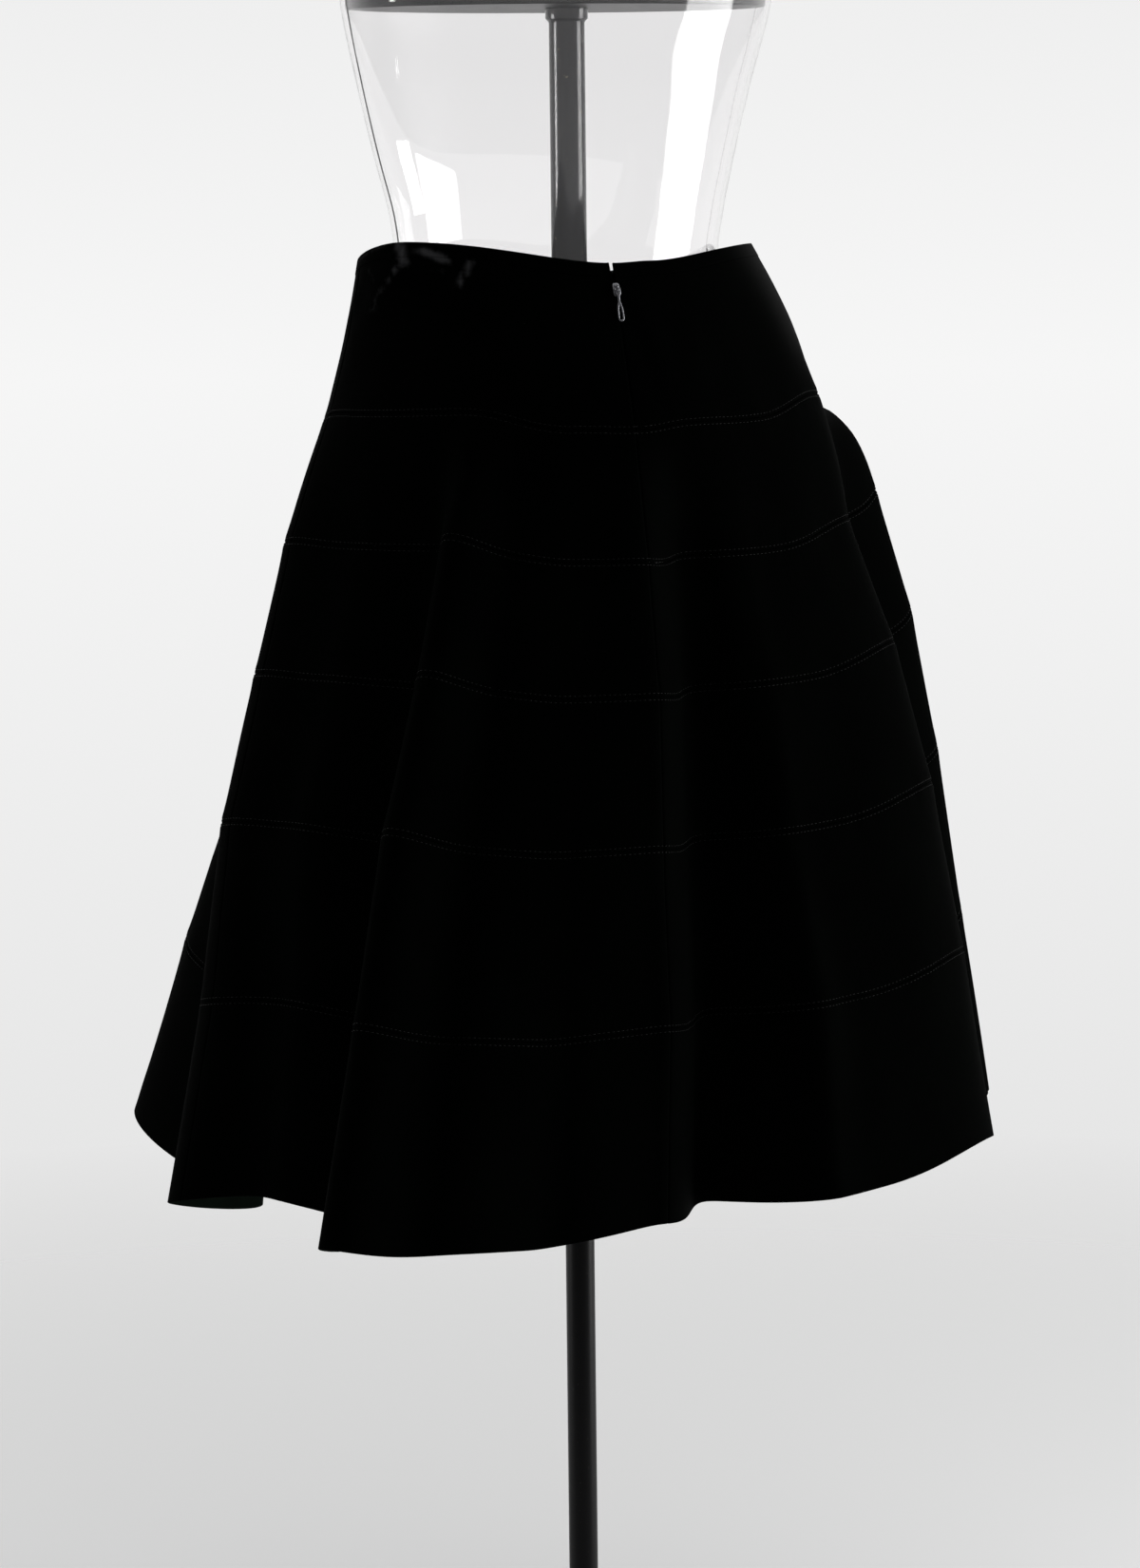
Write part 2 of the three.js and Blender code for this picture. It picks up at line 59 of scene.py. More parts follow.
def addObject(name, data):
    piece = bpy.data.objects.new(name, data)
    bpy.context.scene.collection.objects.link(piece)
    return piece


def placeCamera(s):
    turn = math.radians(s["azimuth"])
    place = Vector((math.sin(turn) * s["distance"], -math.cos(turn) * s["distance"], s["height"]))
    forward = (Vector((0, 0, s["aimHeight"])) - place).normalized()
    right = forward.cross(Vector((0, 0, 1))).normalized()
    up = right.cross(forward)
    roll = math.radians(s["roll"])
    rolledRight = right * math.cos(roll) + up * math.sin(roll)
    rolledUp = up * math.cos(roll) - right * math.sin(roll)
    basis = Matrix((rolledRight, rolledUp, -forward)).transposed().to_4x4()
    data = bpy.data.cameras.new("camera")
    data.lens = s["lens"]
    data.sensor_width = 36
    data.clip_end = 100
    data.shift_x, data.shift_y = s["shift"]
    camera = addObject("camera", data)
    camera.matrix_world = Matrix.Translation(place) @ basis
    bpy.context.scene.camera = camera


placeCamera(cameraSettings)
print("camera placed")


skirt = {
    "waistHeight": 1040,
    "bandHeights": [110, 88, 90, 102, 122, 138],
    "bandNames": ["yoke", "tier1", "tier2", "tier3", "tier4", "tier5"],
    "thickness": 1.3,
    "bindingHeight": 9,
    "seamGap": 0.3,
    "backSeam": 88,      # degrees
    "waistOpening": 3.2,
    "waistOpeningDepth": 24,
    "columnStep": 4.5,   # mm between columns of the mesh
    "rowStep": 6,
}

# The numbers in seamRings, folds, seamDips, hemLift and bulges came out of a least squares fit
# to the photo and were not chosen by hand.

# half width, half depth, centre x, centre y of each seam, from the waist to the hem
seamRings = np.array([
    (137, 90, 10, 2), (172, 130, -2, -1), (194, 150, -3, 0), (215, 173, -4, 0),
    (235, 197, -1, -3), (249, 222, -4, -7), (270, 238, -6, -17)], float)

# angle, lean by the hem, then how far the fold stands out at seam 2, at seam 4 and at the hem
folds = [
    (-42, -1, 25, 39, 91), (-20, 1, -6, -28, -45), (-4, 4, 10, 14, 25), (18, -4, -9, -6, -19),
    (35, -5, -18, -36, -61), (46, -5, 22, 44, 79), (58, -8, 6, 10, 29), (74, -6, 2, 0, -20),
    (86, -1, 4, -4, -38), (103, 1, -24, -52, -92), (120, 1, -10, -14, -18), (154, 1, 1, 17, 24),
    (169, 2, -12, -30, -20), (182, 2, 31, 43, 53), (207, 0, -14, -20, -30), (228, 0, 15, 35, 50),
    (251, 0, -10, -25, -35), (273, 0, 12, 35, 55), (294, 0, -7, -25, -35)]

# angle, then how far up: the seams, the waist edge and the hem; the turn is in degrees
seamDips = [(-60, -10), (-20, -6), (8, 5), (40, 6), (70, -8), (90, -10),
            (105, -7), (130, -9), (155, 2), (190, -6), (250, -20)]
waistLine = [(-60, -10), (-20, -8), (20, 9), (90, -6), (107, -5), (164, 4), (200, -8), (250, -20)]
waistTurn = [(30, 0), (88, 5.6), (150, 0)]   # slants the zip
hemLift = [(-60, 6), (-20, -8), (18, 12), (45, -13), (68, 5), (88, 16),
           (115, 18), (140, 19), (170, 2), (200, 6), (250, 0)]
# angle, then how far the yoke and the first tier stand out between their seams
bulges = [(-60, 0, 0), (0, -2, 1), (40, 0, 0), (120, 0, 0), (155, 2, 3), (182, 4, 9),
          (215, 2, 2), (260, 0, 0)]

# Creases: from angle and distance down, to angle and distance down, half width and height in mm.
# A ridge is above zero and a trough is below it.
creases = [
    # crushed corner at the wearer's left of the back waist
    (15, 4, 19, 24, 6, 1.2), (22, 12, 26, 30, 6, -1.1), (24, 6, 35, 12, 5, 1.0),
    (42, 8, 38, 32, 6, 1.1), (30, 16, 32, 36, 7, -0.9), (14, 26, 10, 48, 6, 0.9),
    (-6, 46, 4, 28, 5, 0.9), (6, 20, 4, 44, 6, -0.9), (48, 16, 52, 40, 8, -0.8),
    # drag lines from the top of the zip
    (92, 22, 104, 60, 8, 0.9), (86, 26, 74, 70, 9, 0.8), (94, 40, 98, 104, 7, -0.8),
    # soft lines down the back and over the hip
    (60, 70, 52, 190, 14, -1.6), (66, 120, 62, 280, 16, 1.4), (78, 140, 76, 330, 14, -1.2),
    (128, 60, 134, 180, 16, 1.3), (144, 120, 146, 300, 16, -1.4), (112, 150, 113, 360, 9, 1.6),
    (166, 70, 172, 170, 10, -2.0), (20, 120, 14, 300, 18, 1.3), (-8, 110, -10, 300, 15, -1.4),
    (60, 380, 56, 600, 18, 1.8), (76, 360, 78, 560, 16, -1.6), (138, 340, 142, 560, 20, 1.8),
    (124, 420, 126, 640, 14, -1.5), (8, 360, 10, 600, 16, -1.6), (-30, 300, -28, 520, 14, 1.5),
    # the front and the wearer's right
    (206, 20, 214, 110, 12, -1.1), (240, 12, 236, 100, 12, 1.0), (290, 16, 300, 104, 12, -1.0),
    (264, 90, 262, 240, 14, 1.2), (216, 140, 214, 330, 14, -1.5), (240, 200, 242, 420, 16, 1.4),
    (262, 300, 260, 560, 15, -1.6), (284, 160, 286, 380, 14, 1.4), (306, 220, 304, 460, 16, -1.4),
    (330, 180, 332, 400, 14, 1.3), (220, 420, 222, 630, 14, 1.7), (296, 440, 298, 640, 14, 1.5),
    (196, 220, 198, 480, 12, -1.4), (322, 440, 320, 640, 12, -1.6), (250, 470, 251, 640, 9, 1.4),
]
seamPlaces = np.cumsum([0] + skirt["bandHeights"])
clothLength = float(seamPlaces[-1])
lineLevels = np.arange(25) / 4
lineDowns = np.interp(lineLevels, range(7), seamPlaces)


def roundTable(rows, column, angle):
    places = np.array([row[0] for row in rows] + [rows[0][0] + 360], float)
    values = np.array([row[column] for row in rows] + [rows[0][column]], float)
    turned = (angle - places[0]) % 360 + places[0]
    i = np.clip(np.searchsorted(places, turned, side="right") - 1, 0, len(rows) - 1)
    part = (turned - places[i]) / (places[i + 1] - places[i])
    return values[i] + (values[i + 1] - values[i]) * (1 - np.cos(np.pi * part)) / 2


def ringPoints(angle, level):
    k = min(5, int(level))
    a, b, x, y = seamRings[k] * (k + 1 - level) + seamRings[k + 1] * (level - k)
    below = max(0.0, level - 1)
    turn = roundTable(waistTurn, 1, angle) * max(0.0, 1 - level)
    t = np.radians(angle + roundTable(folds, 1, angle) * below / 5 + turn)
    r = a * b / np.hypot(b * np.cos(t), a * np.sin(t))
    high, middle, hem = (roundTable(folds, c, angle) for c in (2, 3, 4))
    if level <= 2:
        r = r + high * below
    elif level <= 4:
        r = r + high + (middle - high) * (level - 2) / 2
    else:
        r = r + middle + (hem - middle) * (level - 4) / 2
    if level < 1:
        r = r + roundTable(bulges, 1, angle) * math.sin(math.pi * level)
    elif level < 2:
        r = r + roundTable(bulges, 2, angle) * math.sin(math.pi * below)
    return np.stack([x + r * np.cos(t), y + r * np.sin(t)], axis=-1)


def clothLines(angle):
    # each step down is as long as the cloth, so what goes outwards is taken from the height
    z = skirt["waistHeight"] + roundTable(seamDips, 1, angle)
    edge = roundTable(waistLine, 1, angle) - roundTable(seamDips, 1, angle)
    lift = roundTable(hemLift, 1, angle)
    last = ringPoints(angle, 0)
    points = [np.concatenate([last, (z + edge)[:, None]], axis=1)]
    for level in lineLevels[1:]:
        here = ringPoints(angle, level)
        step = skirt["bandHeights"][math.ceil(level) - 1] / 4
        z = z - np.sqrt(step ** 2 - ((here - last) ** 2).sum(axis=1))
        last = here
        raised = z + lift * (max(0.0, level - 1) / 5) ** 2 + edge * max(0.0, 1 - level)
        points.append(np.concatenate([here, raised[:, None]], axis=1))
    return np.stack(points)


def plainCloth(angle, downs):
    # a smooth curve through the points of each column
    lines = clothLines(angle)
    slope = np.gradient(lines, lineDowns, axis=0)
    downs = np.clip(np.asarray(downs, float), 0, clothLength)
    i = np.clip(np.searchsorted(lineDowns, downs, side="right") - 1, 0, len(lineDowns) - 2)
    gap = (lineDowns[i + 1] - lineDowns[i])[:, None, None]
    t = (downs - lineDowns[i])[:, None, None] / gap
    return ((2 * t ** 3 - 3 * t ** 2 + 1) * lines[i] + (t ** 3 - 2 * t ** 2 + t) * gap * slope[i]
            + (3 * t ** 2 - 2 * t ** 3) * lines[i + 1] + (t ** 3 - t ** 2) * gap * slope[i + 1])


def wave(angle, down, seed):
    # smooth and the same on every run: a few sines with no common period
    rng = np.random.default_rng(seed)
    out = 0
    for _ in range(7):
        turns = rng.integers(5, 26)
        out = out + np.sin(np.radians(angle) * turns + down / rng.uniform(16, 60)
                           + rng.uniform(0, 6.28)) / 7
    return out


def seamDip(distance, depth, width):
    return -depth * np.exp(-(distance / width) ** 2)


stitchRows = {"offset": 2.2, "depth": 0.42, "width": 0.6}
seamRadii = [113, 153, 177, 198, 218, 238, 262]   # mean radius of the cloth at each seam


def strokeDistance(a, d, a0, d0, a1, d1, radius):
    # how far each point of the cloth is from a stroke, and how far along it
    turned = (a - a0 + 180) % 360 - 180
    x, y = np.radians(turned) * radius, d - d0
    dx, dy = math.radians(a1 - a0) * radius, d1 - d0
    part = np.clip((x * dx + y * dy) / (dx ** 2 + dy ** 2), 0, 1)
    return np.hypot(x - part * dx, y - part * dy), part


def clothRelief(angle, down, start, to):
    # how far the cloth stands out, in mm, of the plain shape
    a, d = np.meshgrid(angle, down)
    radius = np.interp(d, seamPlaces, seamRadii)
    out = 0.75 * wave(a, d, 3) * np.clip(d / 60, 0.2, 1)
    for k, place in enumerate(seamPlaces[1:-1]):
        near = np.abs(d - place)
        out += seamDip(d - place, 0.75, 0.8)
        out += seamDip(near - stitchRows["offset"], stitchRows["depth"], stitchRows["width"])
        out += 0.35 * np.exp(-(near / 9) ** 2)
        ripple = np.sin(np.radians(a) * (51 + 9 * k)) + np.sin(np.radians(a) * (83 + 7 * k) + k)
        out += 0.22 * ripple * np.exp(-near / 7) * (1 - np.exp(-(near / 1.2) ** 2))
    for a0, d0, a1, d1, width, height in creases:
        away, part = strokeDistance(a, d, a0, d0, a1, d1, radius)
        fade = np.sin(np.pi * np.clip(part, 0.04, 0.96)) ** 0.7
        out += height * fade * np.exp(-(away / width) ** 2)
    for edge in (start, to):   # the cloth turns in at a seam down the skirt
        if edge is not None:
            out += seamDip(np.radians(a - edge) * radius, 0.6, 0.9)
    return out


def gridNormals(points):
    along = np.gradient(points, axis=0)
    across = np.gradient(points, axis=1)
    normal = np.cross(along, across)
    return normal / np.linalg.norm(normal, axis=2, keepdims=True)


def clothSurface(angle, downs, start=None, to=None):
    points = plainCloth(angle, downs)
    normal = gridNormals(points)
    relief = clothRelief(angle, np.asarray(downs, float), start, to)
    return points + normal * relief[..., None], normal


def onCloth(angle, down, out=0.0):
    # one point of the cloth and its normal, in mm
    points, normal = clothSurface(np.array([angle - 0.3, angle, angle + 0.3]),
                                  [down - 1, down, down + 1])
    return points[1, 1] + normal[1, 1] * out, normal[1, 1]


def makeObject(name, vertices, faces, materials, faceMaterial=None, smooth=True, uv=None):
    vertices = np.asarray(vertices, float) * mm
    faces = [tuple(int(i) for i in face) for face in faces]
    volume = 0.0
    for face in faces:
        for i in range(1, len(face) - 1):
            a, b, c = (vertices[j] for j in (face[0], face[i], face[i + 1]))
            volume += a[0] * (b[1] * c[2] - b[2] * c[1]) + a[1] * (b[2] * c[0] - b[0] * c[2]) \
                + a[2] * (b[0] * c[1] - b[1] * c[0])
    if volume < 0:
        faces = [face[::-1] for face in faces]
    mesh = bpy.data.meshes.new(name)
    mesh.from_pydata(vertices.tolist(), [], faces)
    for material in materials:
        mesh.materials.append(material)
    if faceMaterial is not None:
        mesh.polygons.foreach_set("material_index", faceMaterial)
    mesh.polygons.foreach_set("use_smooth", [smooth] * len(faces))
    if uv is not None:
        layer = mesh.uv_layers.new(name="cloth")
        corners = np.zeros(len(mesh.loops), int)
        mesh.loops.foreach_get("vertex_index", corners)
        layer.data.foreach_set("uv", np.asarray(uv, float)[corners].ravel())
    mesh.update()
    return addObject(name, mesh)


def applyModifiers(piece):
    evaluated = piece.evaluated_get(bpy.context.evaluated_depsgraph_get())
    mesh = bpy.data.meshes.new_from_object(evaluated)
    piece.modifiers.clear()
    piece.data = mesh
    return piece


def faceOut(piece):
    shape = bmesh.new()
    shape.from_mesh(piece.data)
    bmesh.ops.recalc_face_normals(shape, faces=shape.faces)
    shape.to_mesh(piece.data)
    shape.free()


def removeObject(piece):
    bpy.data.objects.remove(piece, do_unlink=True)


def newMaterial(name):
    material = bpy.data.materials.new(name)
    material.use_nodes = True
    nodes = material.node_tree.nodes
    nodes.clear()
    shader = nodes.new("ShaderNodeBsdfPrincipled")
    output = nodes.new("ShaderNodeOutputMaterial")
    material.node_tree.links.new(shader.outputs[0], output.inputs[0])
    return material, nodes, material.node_tree.links, shader


def newGroup(name, inputs, outputs):
    group = bpy.data.node_groups.new(name, "ShaderNodeTree")
    for label, kind, value in inputs:
        socket = group.interface.new_socket(label, in_out="INPUT", socket_type=kind)
        if value is not None:
            socket.default_value = value
    for label, kind in outputs:
        group.interface.new_socket(label, in_out="OUTPUT", socket_type=kind)
    return group, group.nodes.new("NodeGroupInput"), group.nodes.new("NodeGroupOutput")


def feed(links, source, socket):
    # an output is linked, and a plain value is set
    if isinstance(source, bpy.types.NodeSocket):
        links.new(source, socket)
    else:
        socket.default_value = source


def mapRange(nodes, links, source, low, high, toLow, toHigh):
    node = nodes.new("ShaderNodeMapRange")
    for label, value in (("Value", source), ("From Min", low), ("From Max", high),
                         ("To Min", toLow), ("To Max", toHigh)):
        feed(links, value, node.inputs[label])
    return node.outputs[0]


def mathValue(nodes, links, operation, *sources):
    node = nodes.new("ShaderNodeMath")
    node.operation = operation
    for source, socket in zip(sources, node.inputs):
        feed(links, source, socket)
    return node.outputs[0]


def mixColors(nodes, links, factor, a, b):
    node = nodes.new("ShaderNodeMix")
    node.data_type = "RGBA"
    for label, source in (("Factor", factor), ("A", a), ("B", b)):
        feed(links, source, node.inputs[label])
    return node.outputs["Result"]


def noiseValue(nodes, links, vector, scale, detail=2, roughness=0.5, distortion=0):
    node = nodes.new("ShaderNodeTexNoise")
    for label, source in (("Vector", vector), ("Scale", scale), ("Detail", detail),
                          ("Roughness", roughness), ("Distortion", distortion)):
        feed(links, source, node.inputs[label])
    return node.outputs["Fac"]


def grey(value):
    return (value, value, value, 1)


groupOutputs = [("Color", "NodeSocketColor"), ("Roughness", "NodeSocketFloat"),
                ("Height", "NodeSocketFloat")]


def wearGroup():
    # uneven handling marks: changes roughness and colour a little over any hard surface
    group, start, end = newGroup("handlingMarks", [
        ("Vector", "NodeSocketVector", None), ("Scale", "NodeSocketFloat", 60.0),
        ("Roughness", "NodeSocketFloat", 0.3), ("Amount", "NodeSocketFloat", 0.1),
        ("Color", "NodeSocketColor", (0.02, 0.02, 0.02, 1)),
        ("Worn Color", "NodeSocketColor", (0.1, 0.1, 0.1, 1))], groupOutputs)
    nodes, links, given = group.nodes, group.links, start.outputs
    smudges = noiseValue(nodes, links, given["Vector"], given["Scale"], detail=6)
    scratches = noiseValue(nodes, links, given["Vector"], 420, detail=3)
    spots = mapRange(nodes, links, scratches, 0.68, 0.76, 0, 1)
    links.new(mixColors(nodes, links, spots, given["Color"], given["Worn Color"]),
              end.inputs["Color"])
    links.new(mathValue(nodes, links, "MULTIPLY_ADD", smudges, given["Amount"], given["Roughness"]),
              end.inputs["Roughness"])
    links.new(smudges, end.inputs["Height"])
    return group


def napAndPaintedSheenGroup():
    # the pile of the velvet: fine grain and short lines down the cloth, with painted sheen on
    # strokes of flattened pile and a painted highlight patch
    group, start, end = newGroup("velvetNapAndPaintedSheen", [
        ("Vector", "NodeSocketVector", None), ("Cloth", "NodeSocketVector", None),
        ("Dark", "NodeSocketColor", (0.002, 0.002, 0.002, 1)),
        ("Light", "NodeSocketColor", (0.006, 0.006, 0.007, 1)),
        ("Crushed Sheen", "NodeSocketColor", (0.05, 0.05, 0.06, 1)), ("Crush", "NodeSocketFloat", 0.0),
        ("Brushed", "NodeSocketColor", (0.01, 0.01, 0.01, 1)), ("Brush", "NodeSocketFloat", 0.0)],
        groupOutputs)
    nodes, links, given = group.nodes, group.links, start.outputs
    patches = noiseValue(nodes, links, given["Vector"], 14, detail=5, roughness=0.62)
    stretch = nodes.new("ShaderNodeMapping")
    stretch.inputs["Scale"].default_value = (1, 0.18, 1)
    links.new(given["Cloth"], stretch.inputs["Vector"])
    lines = noiseValue(nodes, links, stretch.outputs[0], 900)
    pile = noiseValue(nodes, links, given["Vector"], 1700)
    shade = mixColors(nodes, links, mapRange(nodes, links, patches, 0.35, 0.7, 0, 1),
                      given["Dark"], given["Light"])
    # painted highlight: a lighter colour where the yoke catches the light
    withHighlight = mixColors(nodes, links, given["Brush"], shade, given["Brushed"])
    flecks = noiseValue(nodes, links, given["Vector"], 210, detail=4, distortion=0.6)
    ragged = mathValue(nodes, links, "MULTIPLY_ADD", flecks, 0.9, given["Crush"])
    crushedSheen = mathValue(nodes, links, "MULTIPLY",
                        mapRange(nodes, links, ragged, 0.72, 1.35, 0, 1), given["Crush"])
    # strokes of flattened pile: a lighter colour, which is painted sheen, and a lower roughness,
    # which is the real flattened pile
    links.new(mixColors(nodes, links, crushedSheen, withHighlight, given["Crushed Sheen"]), end.inputs["Color"])
    links.new(mathValue(nodes, links, "MULTIPLY_ADD", crushedSheen, -0.45, 0.85),
              end.inputs["Roughness"])
    links.new(mathValue(nodes, links, "ADD", pile, lines), end.inputs["Height"])
    return group


handlingMarks = wearGroup()
velvetNapAndPaintedSheen = napAndPaintedSheenGroup()


def bumpFrom(nodes, links, height, shader, strength, distance):
    bump = nodes.new("ShaderNodeBump")
    bump.inputs["Strength"].default_value = strength
    bump.inputs["Distance"].default_value = distance
    links.new(height, bump.inputs["Height"])
    links.new(bump.outputs[0], shader.inputs["Normal"])


# the two lightest colours here are painted sheen: one on the strokes of flattened pile, one on the
# highlight patch of the yoke
velvetLook = {
    "dark": 0.0002, "light": 0.0005, "crushedSheen": 0.035, "brushed": 0.012, "tint": (0.7, 1.15, 0.8),
    "sheen": 0.004, "sheenRoughness": 0.14, "specular": 0.006,
}


def velvetMaterial(name, s, sheen):
    material, nodes, links, shader = newMaterial(name)
    coordinates = nodes.new("ShaderNodeTexCoord")
    nap = nodes.new("ShaderNodeGroup")
    nap.node_tree = velvetNapAndPaintedSheen
    links.new(coordinates.outputs["Object"], nap.inputs["Vector"])
    links.new(coordinates.outputs["UV"], nap.inputs["Cloth"])
    for label in ("Crush", "Brush"):
        stroke = nodes.new("ShaderNodeAttribute")
        stroke.attribute_name = label.lower()
        links.new(stroke.outputs["Fac"], nap.inputs[label])
    for label in ("dark", "light"):
        nap.inputs[label.title()].default_value = (*(s[label] * part for part in s["tint"]), 1)
    # the colour of the painted highlight on the yoke
    nap.inputs["Brushed"].default_value = grey(s["brushed"])
    # the colour of flattened pile, lightened as a painted sheen
    nap.inputs["Crushed Sheen"].default_value = (s["crushedSheen"], s["crushedSheen"], s["crushedSheen"] * 1.05, 1)
    for label in ("Base Color", "Roughness"):
        links.new(nap.outputs[label.replace("Base ", "")], shader.inputs[label])
    bumpFrom(nodes, links, nap.outputs["Height"], shader, 0.35, 0.0004)
    shader.inputs["Sheen Weight"].default_value = sheen
    shader.inputs["Sheen Roughness"].default_value = s["sheenRoughness"]
    shader.inputs["Sheen Tint"].default_value = (0.8, 1, 0.85, 1)
    shader.inputs["Specular IOR Level"].default_value = s["specular"]
    return material


def hardMaterial(name, color, worn, roughness, metallic=0.0, specular=0.5, amount=0.12, scale=60):
    material, nodes, links, shader = newMaterial(name)
    coordinates = nodes.new("ShaderNodeTexCoord")
    marks = nodes.new("ShaderNodeGroup")
    marks.node_tree = handlingMarks
    for label, source in (
            ("Vector", coordinates.outputs["Object"]), ("Scale", scale), ("Roughness", roughness),
            ("Amount", amount), ("Color", (*color, 1)), ("Worn Color", (*worn, 1))):
        feed(links, source, marks.inputs[label])
    links.new(marks.outputs["Color"], shader.inputs["Base Color"])
    links.new(marks.outputs["Roughness"], shader.inputs["Roughness"])
    bumpFrom(nodes, links, marks.outputs["Height"], shader, 0.08, 0.0005)
    shader.inputs["Metallic"].default_value = metallic
    shader.inputs["Specular IOR Level"].default_value = specular
    return material


def clearMaterial():
    material, nodes, links, shader = newMaterial("clearPlastic")
    coordinates = nodes.new("ShaderNodeTexCoord")
    waves = noiseValue(nodes, links, coordinates.outputs["Object"], 9, detail=3)
    bumpFrom(nodes, links, waves, shader, 0.1, 0.002)
    links.new(mapRange(nodes, links, waves, 0.3, 0.8, 0.0, 0.03), shader.inputs["Roughness"])
    shader.inputs["Base Color"].default_value = (0.99, 0.985, 0.988, 1)
    shader.inputs["Transmission Weight"].default_value = 1
    shader.inputs["IOR"].default_value = 1.46
    return material


def threadMaterial():
    material, nodes, links, shader = newMaterial("thread")
    coordinates = nodes.new("ShaderNodeTexCoord")
    twist = noiseValue(nodes, links, coordinates.outputs["Object"], 2600)
    shade = mixColors(nodes, links, twist, (0.0008, 0.0009, 0.0008, 1),
                      (0.0045, 0.0048, 0.0046, 1))
    links.new(shade, shader.inputs["Base Color"])
    shader.inputs["Roughness"].default_value = 0.6
    shader.inputs["Specular IOR Level"].default_value = 0.12
    bumpFrom(nodes, links, twist, shader, 0.3, 0.0001)
    return material


velvet = velvetMaterial("velvet", velvetLook, velvetLook["sheen"])
velvetBack = velvetMaterial("velvetBack", {**velvetLook, "dark": 0.004, "light": 0.007}, 0.01)
tapeCloth = velvetMaterial("zipTape", {**velvetLook, "dark": 0.006, "light": 0.012}, 0.05)
thread = threadMaterial()
zipMetal = hardMaterial("zipMetal", (0.30, 0.30, 0.32), (0.6, 0.6, 0.62), 0.22, metallic=1.0,
                        scale=300)
clearPlastic = clearMaterial()
darkPlastic = hardMaterial("darkPlastic", (0.012, 0.012, 0.014), (0.05, 0.05, 0.05), 0.35)
tubePaint = hardMaterial("tubePaint", (0.026, 0.026, 0.029), (0.3, 0.24, 0.17), 0.07, amount=0.08)
polePaint = hardMaterial("polePaint", (0.0025, 0.0025, 0.0028), (0.03, 0.028, 0.025), 0.3,
                         specular=0.12)
print("materials made")


backSeam = skirt["backSeam"]
panels = [("BackLeft", "back_left", 0, backSeam), ("BackRight", "back_right", backSeam, 180),
          ("Front", "front", 180, 360)]


def edgeSteps(length, fine):
    # distances from one edge to the other, close together at both edges
    fine = [f for f in fine if f < length * 0.4]
    inner = np.linspace(fine[-1], length - fine[-1],
                        max(2, round((length - 2 * fine[-1]) / skirt["rowStep"])) + 1)
    return np.array(fine[:-1] + inner.tolist() + [length - f for f in reversed(fine[:-1])])


def halfSlit(down):
    openShare = np.clip(1 - down / skirt["waistOpeningDepth"], 0, 1)
    return skirt["seamGap"] / 2 + (skirt["waistOpening"] - skirt["seamGap"]) / 2 * openShare ** 0.8


# strokes of flattened pile, lighter in colour as a painted sheen: angle and distance down at both
# ends, half width in mm and strength
crushedSheenStrokes = [
    (18, 2, 20, 12, 4.2, 1.0), (20, 12, 16, 22, 3.0, 0.8), (25, 5, 33, 11, 3.6, 1.0),
    (40, 11, 37, 27, 3.2, 0.9), (14, 27, 11, 43, 3.8, 0.5), (-5, 44, 3, 31, 2.0, 0.5),
    (-3, 3, 12, 1, 2.6, 0.45), (28, 20, 33, 17, 2.4, 0.4), (6, 14, 10, 22, 2.6, 0.4),
    (46, 5, 50, 9, 2.4, 0.3), (-14, 20, -9, 34, 3.0, 0.35),
]
# a painted highlight: the colour is lightened where the yoke looks lighter as it catches the light
paintedHighlightStrokes = [(168, -4, 171, 62, 27, 1.0), (170, 62, 173, 108, 16, 0.45)]
strokeRadius = 122   # mean radius of the yoke


def strokeAmount(strokes, angle, down):
    a, d = np.meshgrid(angle, down)
    out = 0.0
    for a0, d0, a1, d1, width, strength in strokes:
        away, part = strokeDistance(a, d, a0, d0, a1, d1, strokeRadius)
        out = np.maximum(out, strength * np.exp(-(away / width) ** 2))
    return out


def arcLength(start, to, down):
    points = plainCloth(np.linspace(start, to, 200), [down])[0]
    return float(np.linalg.norm(np.diff(points, axis=0), axis=1).sum())


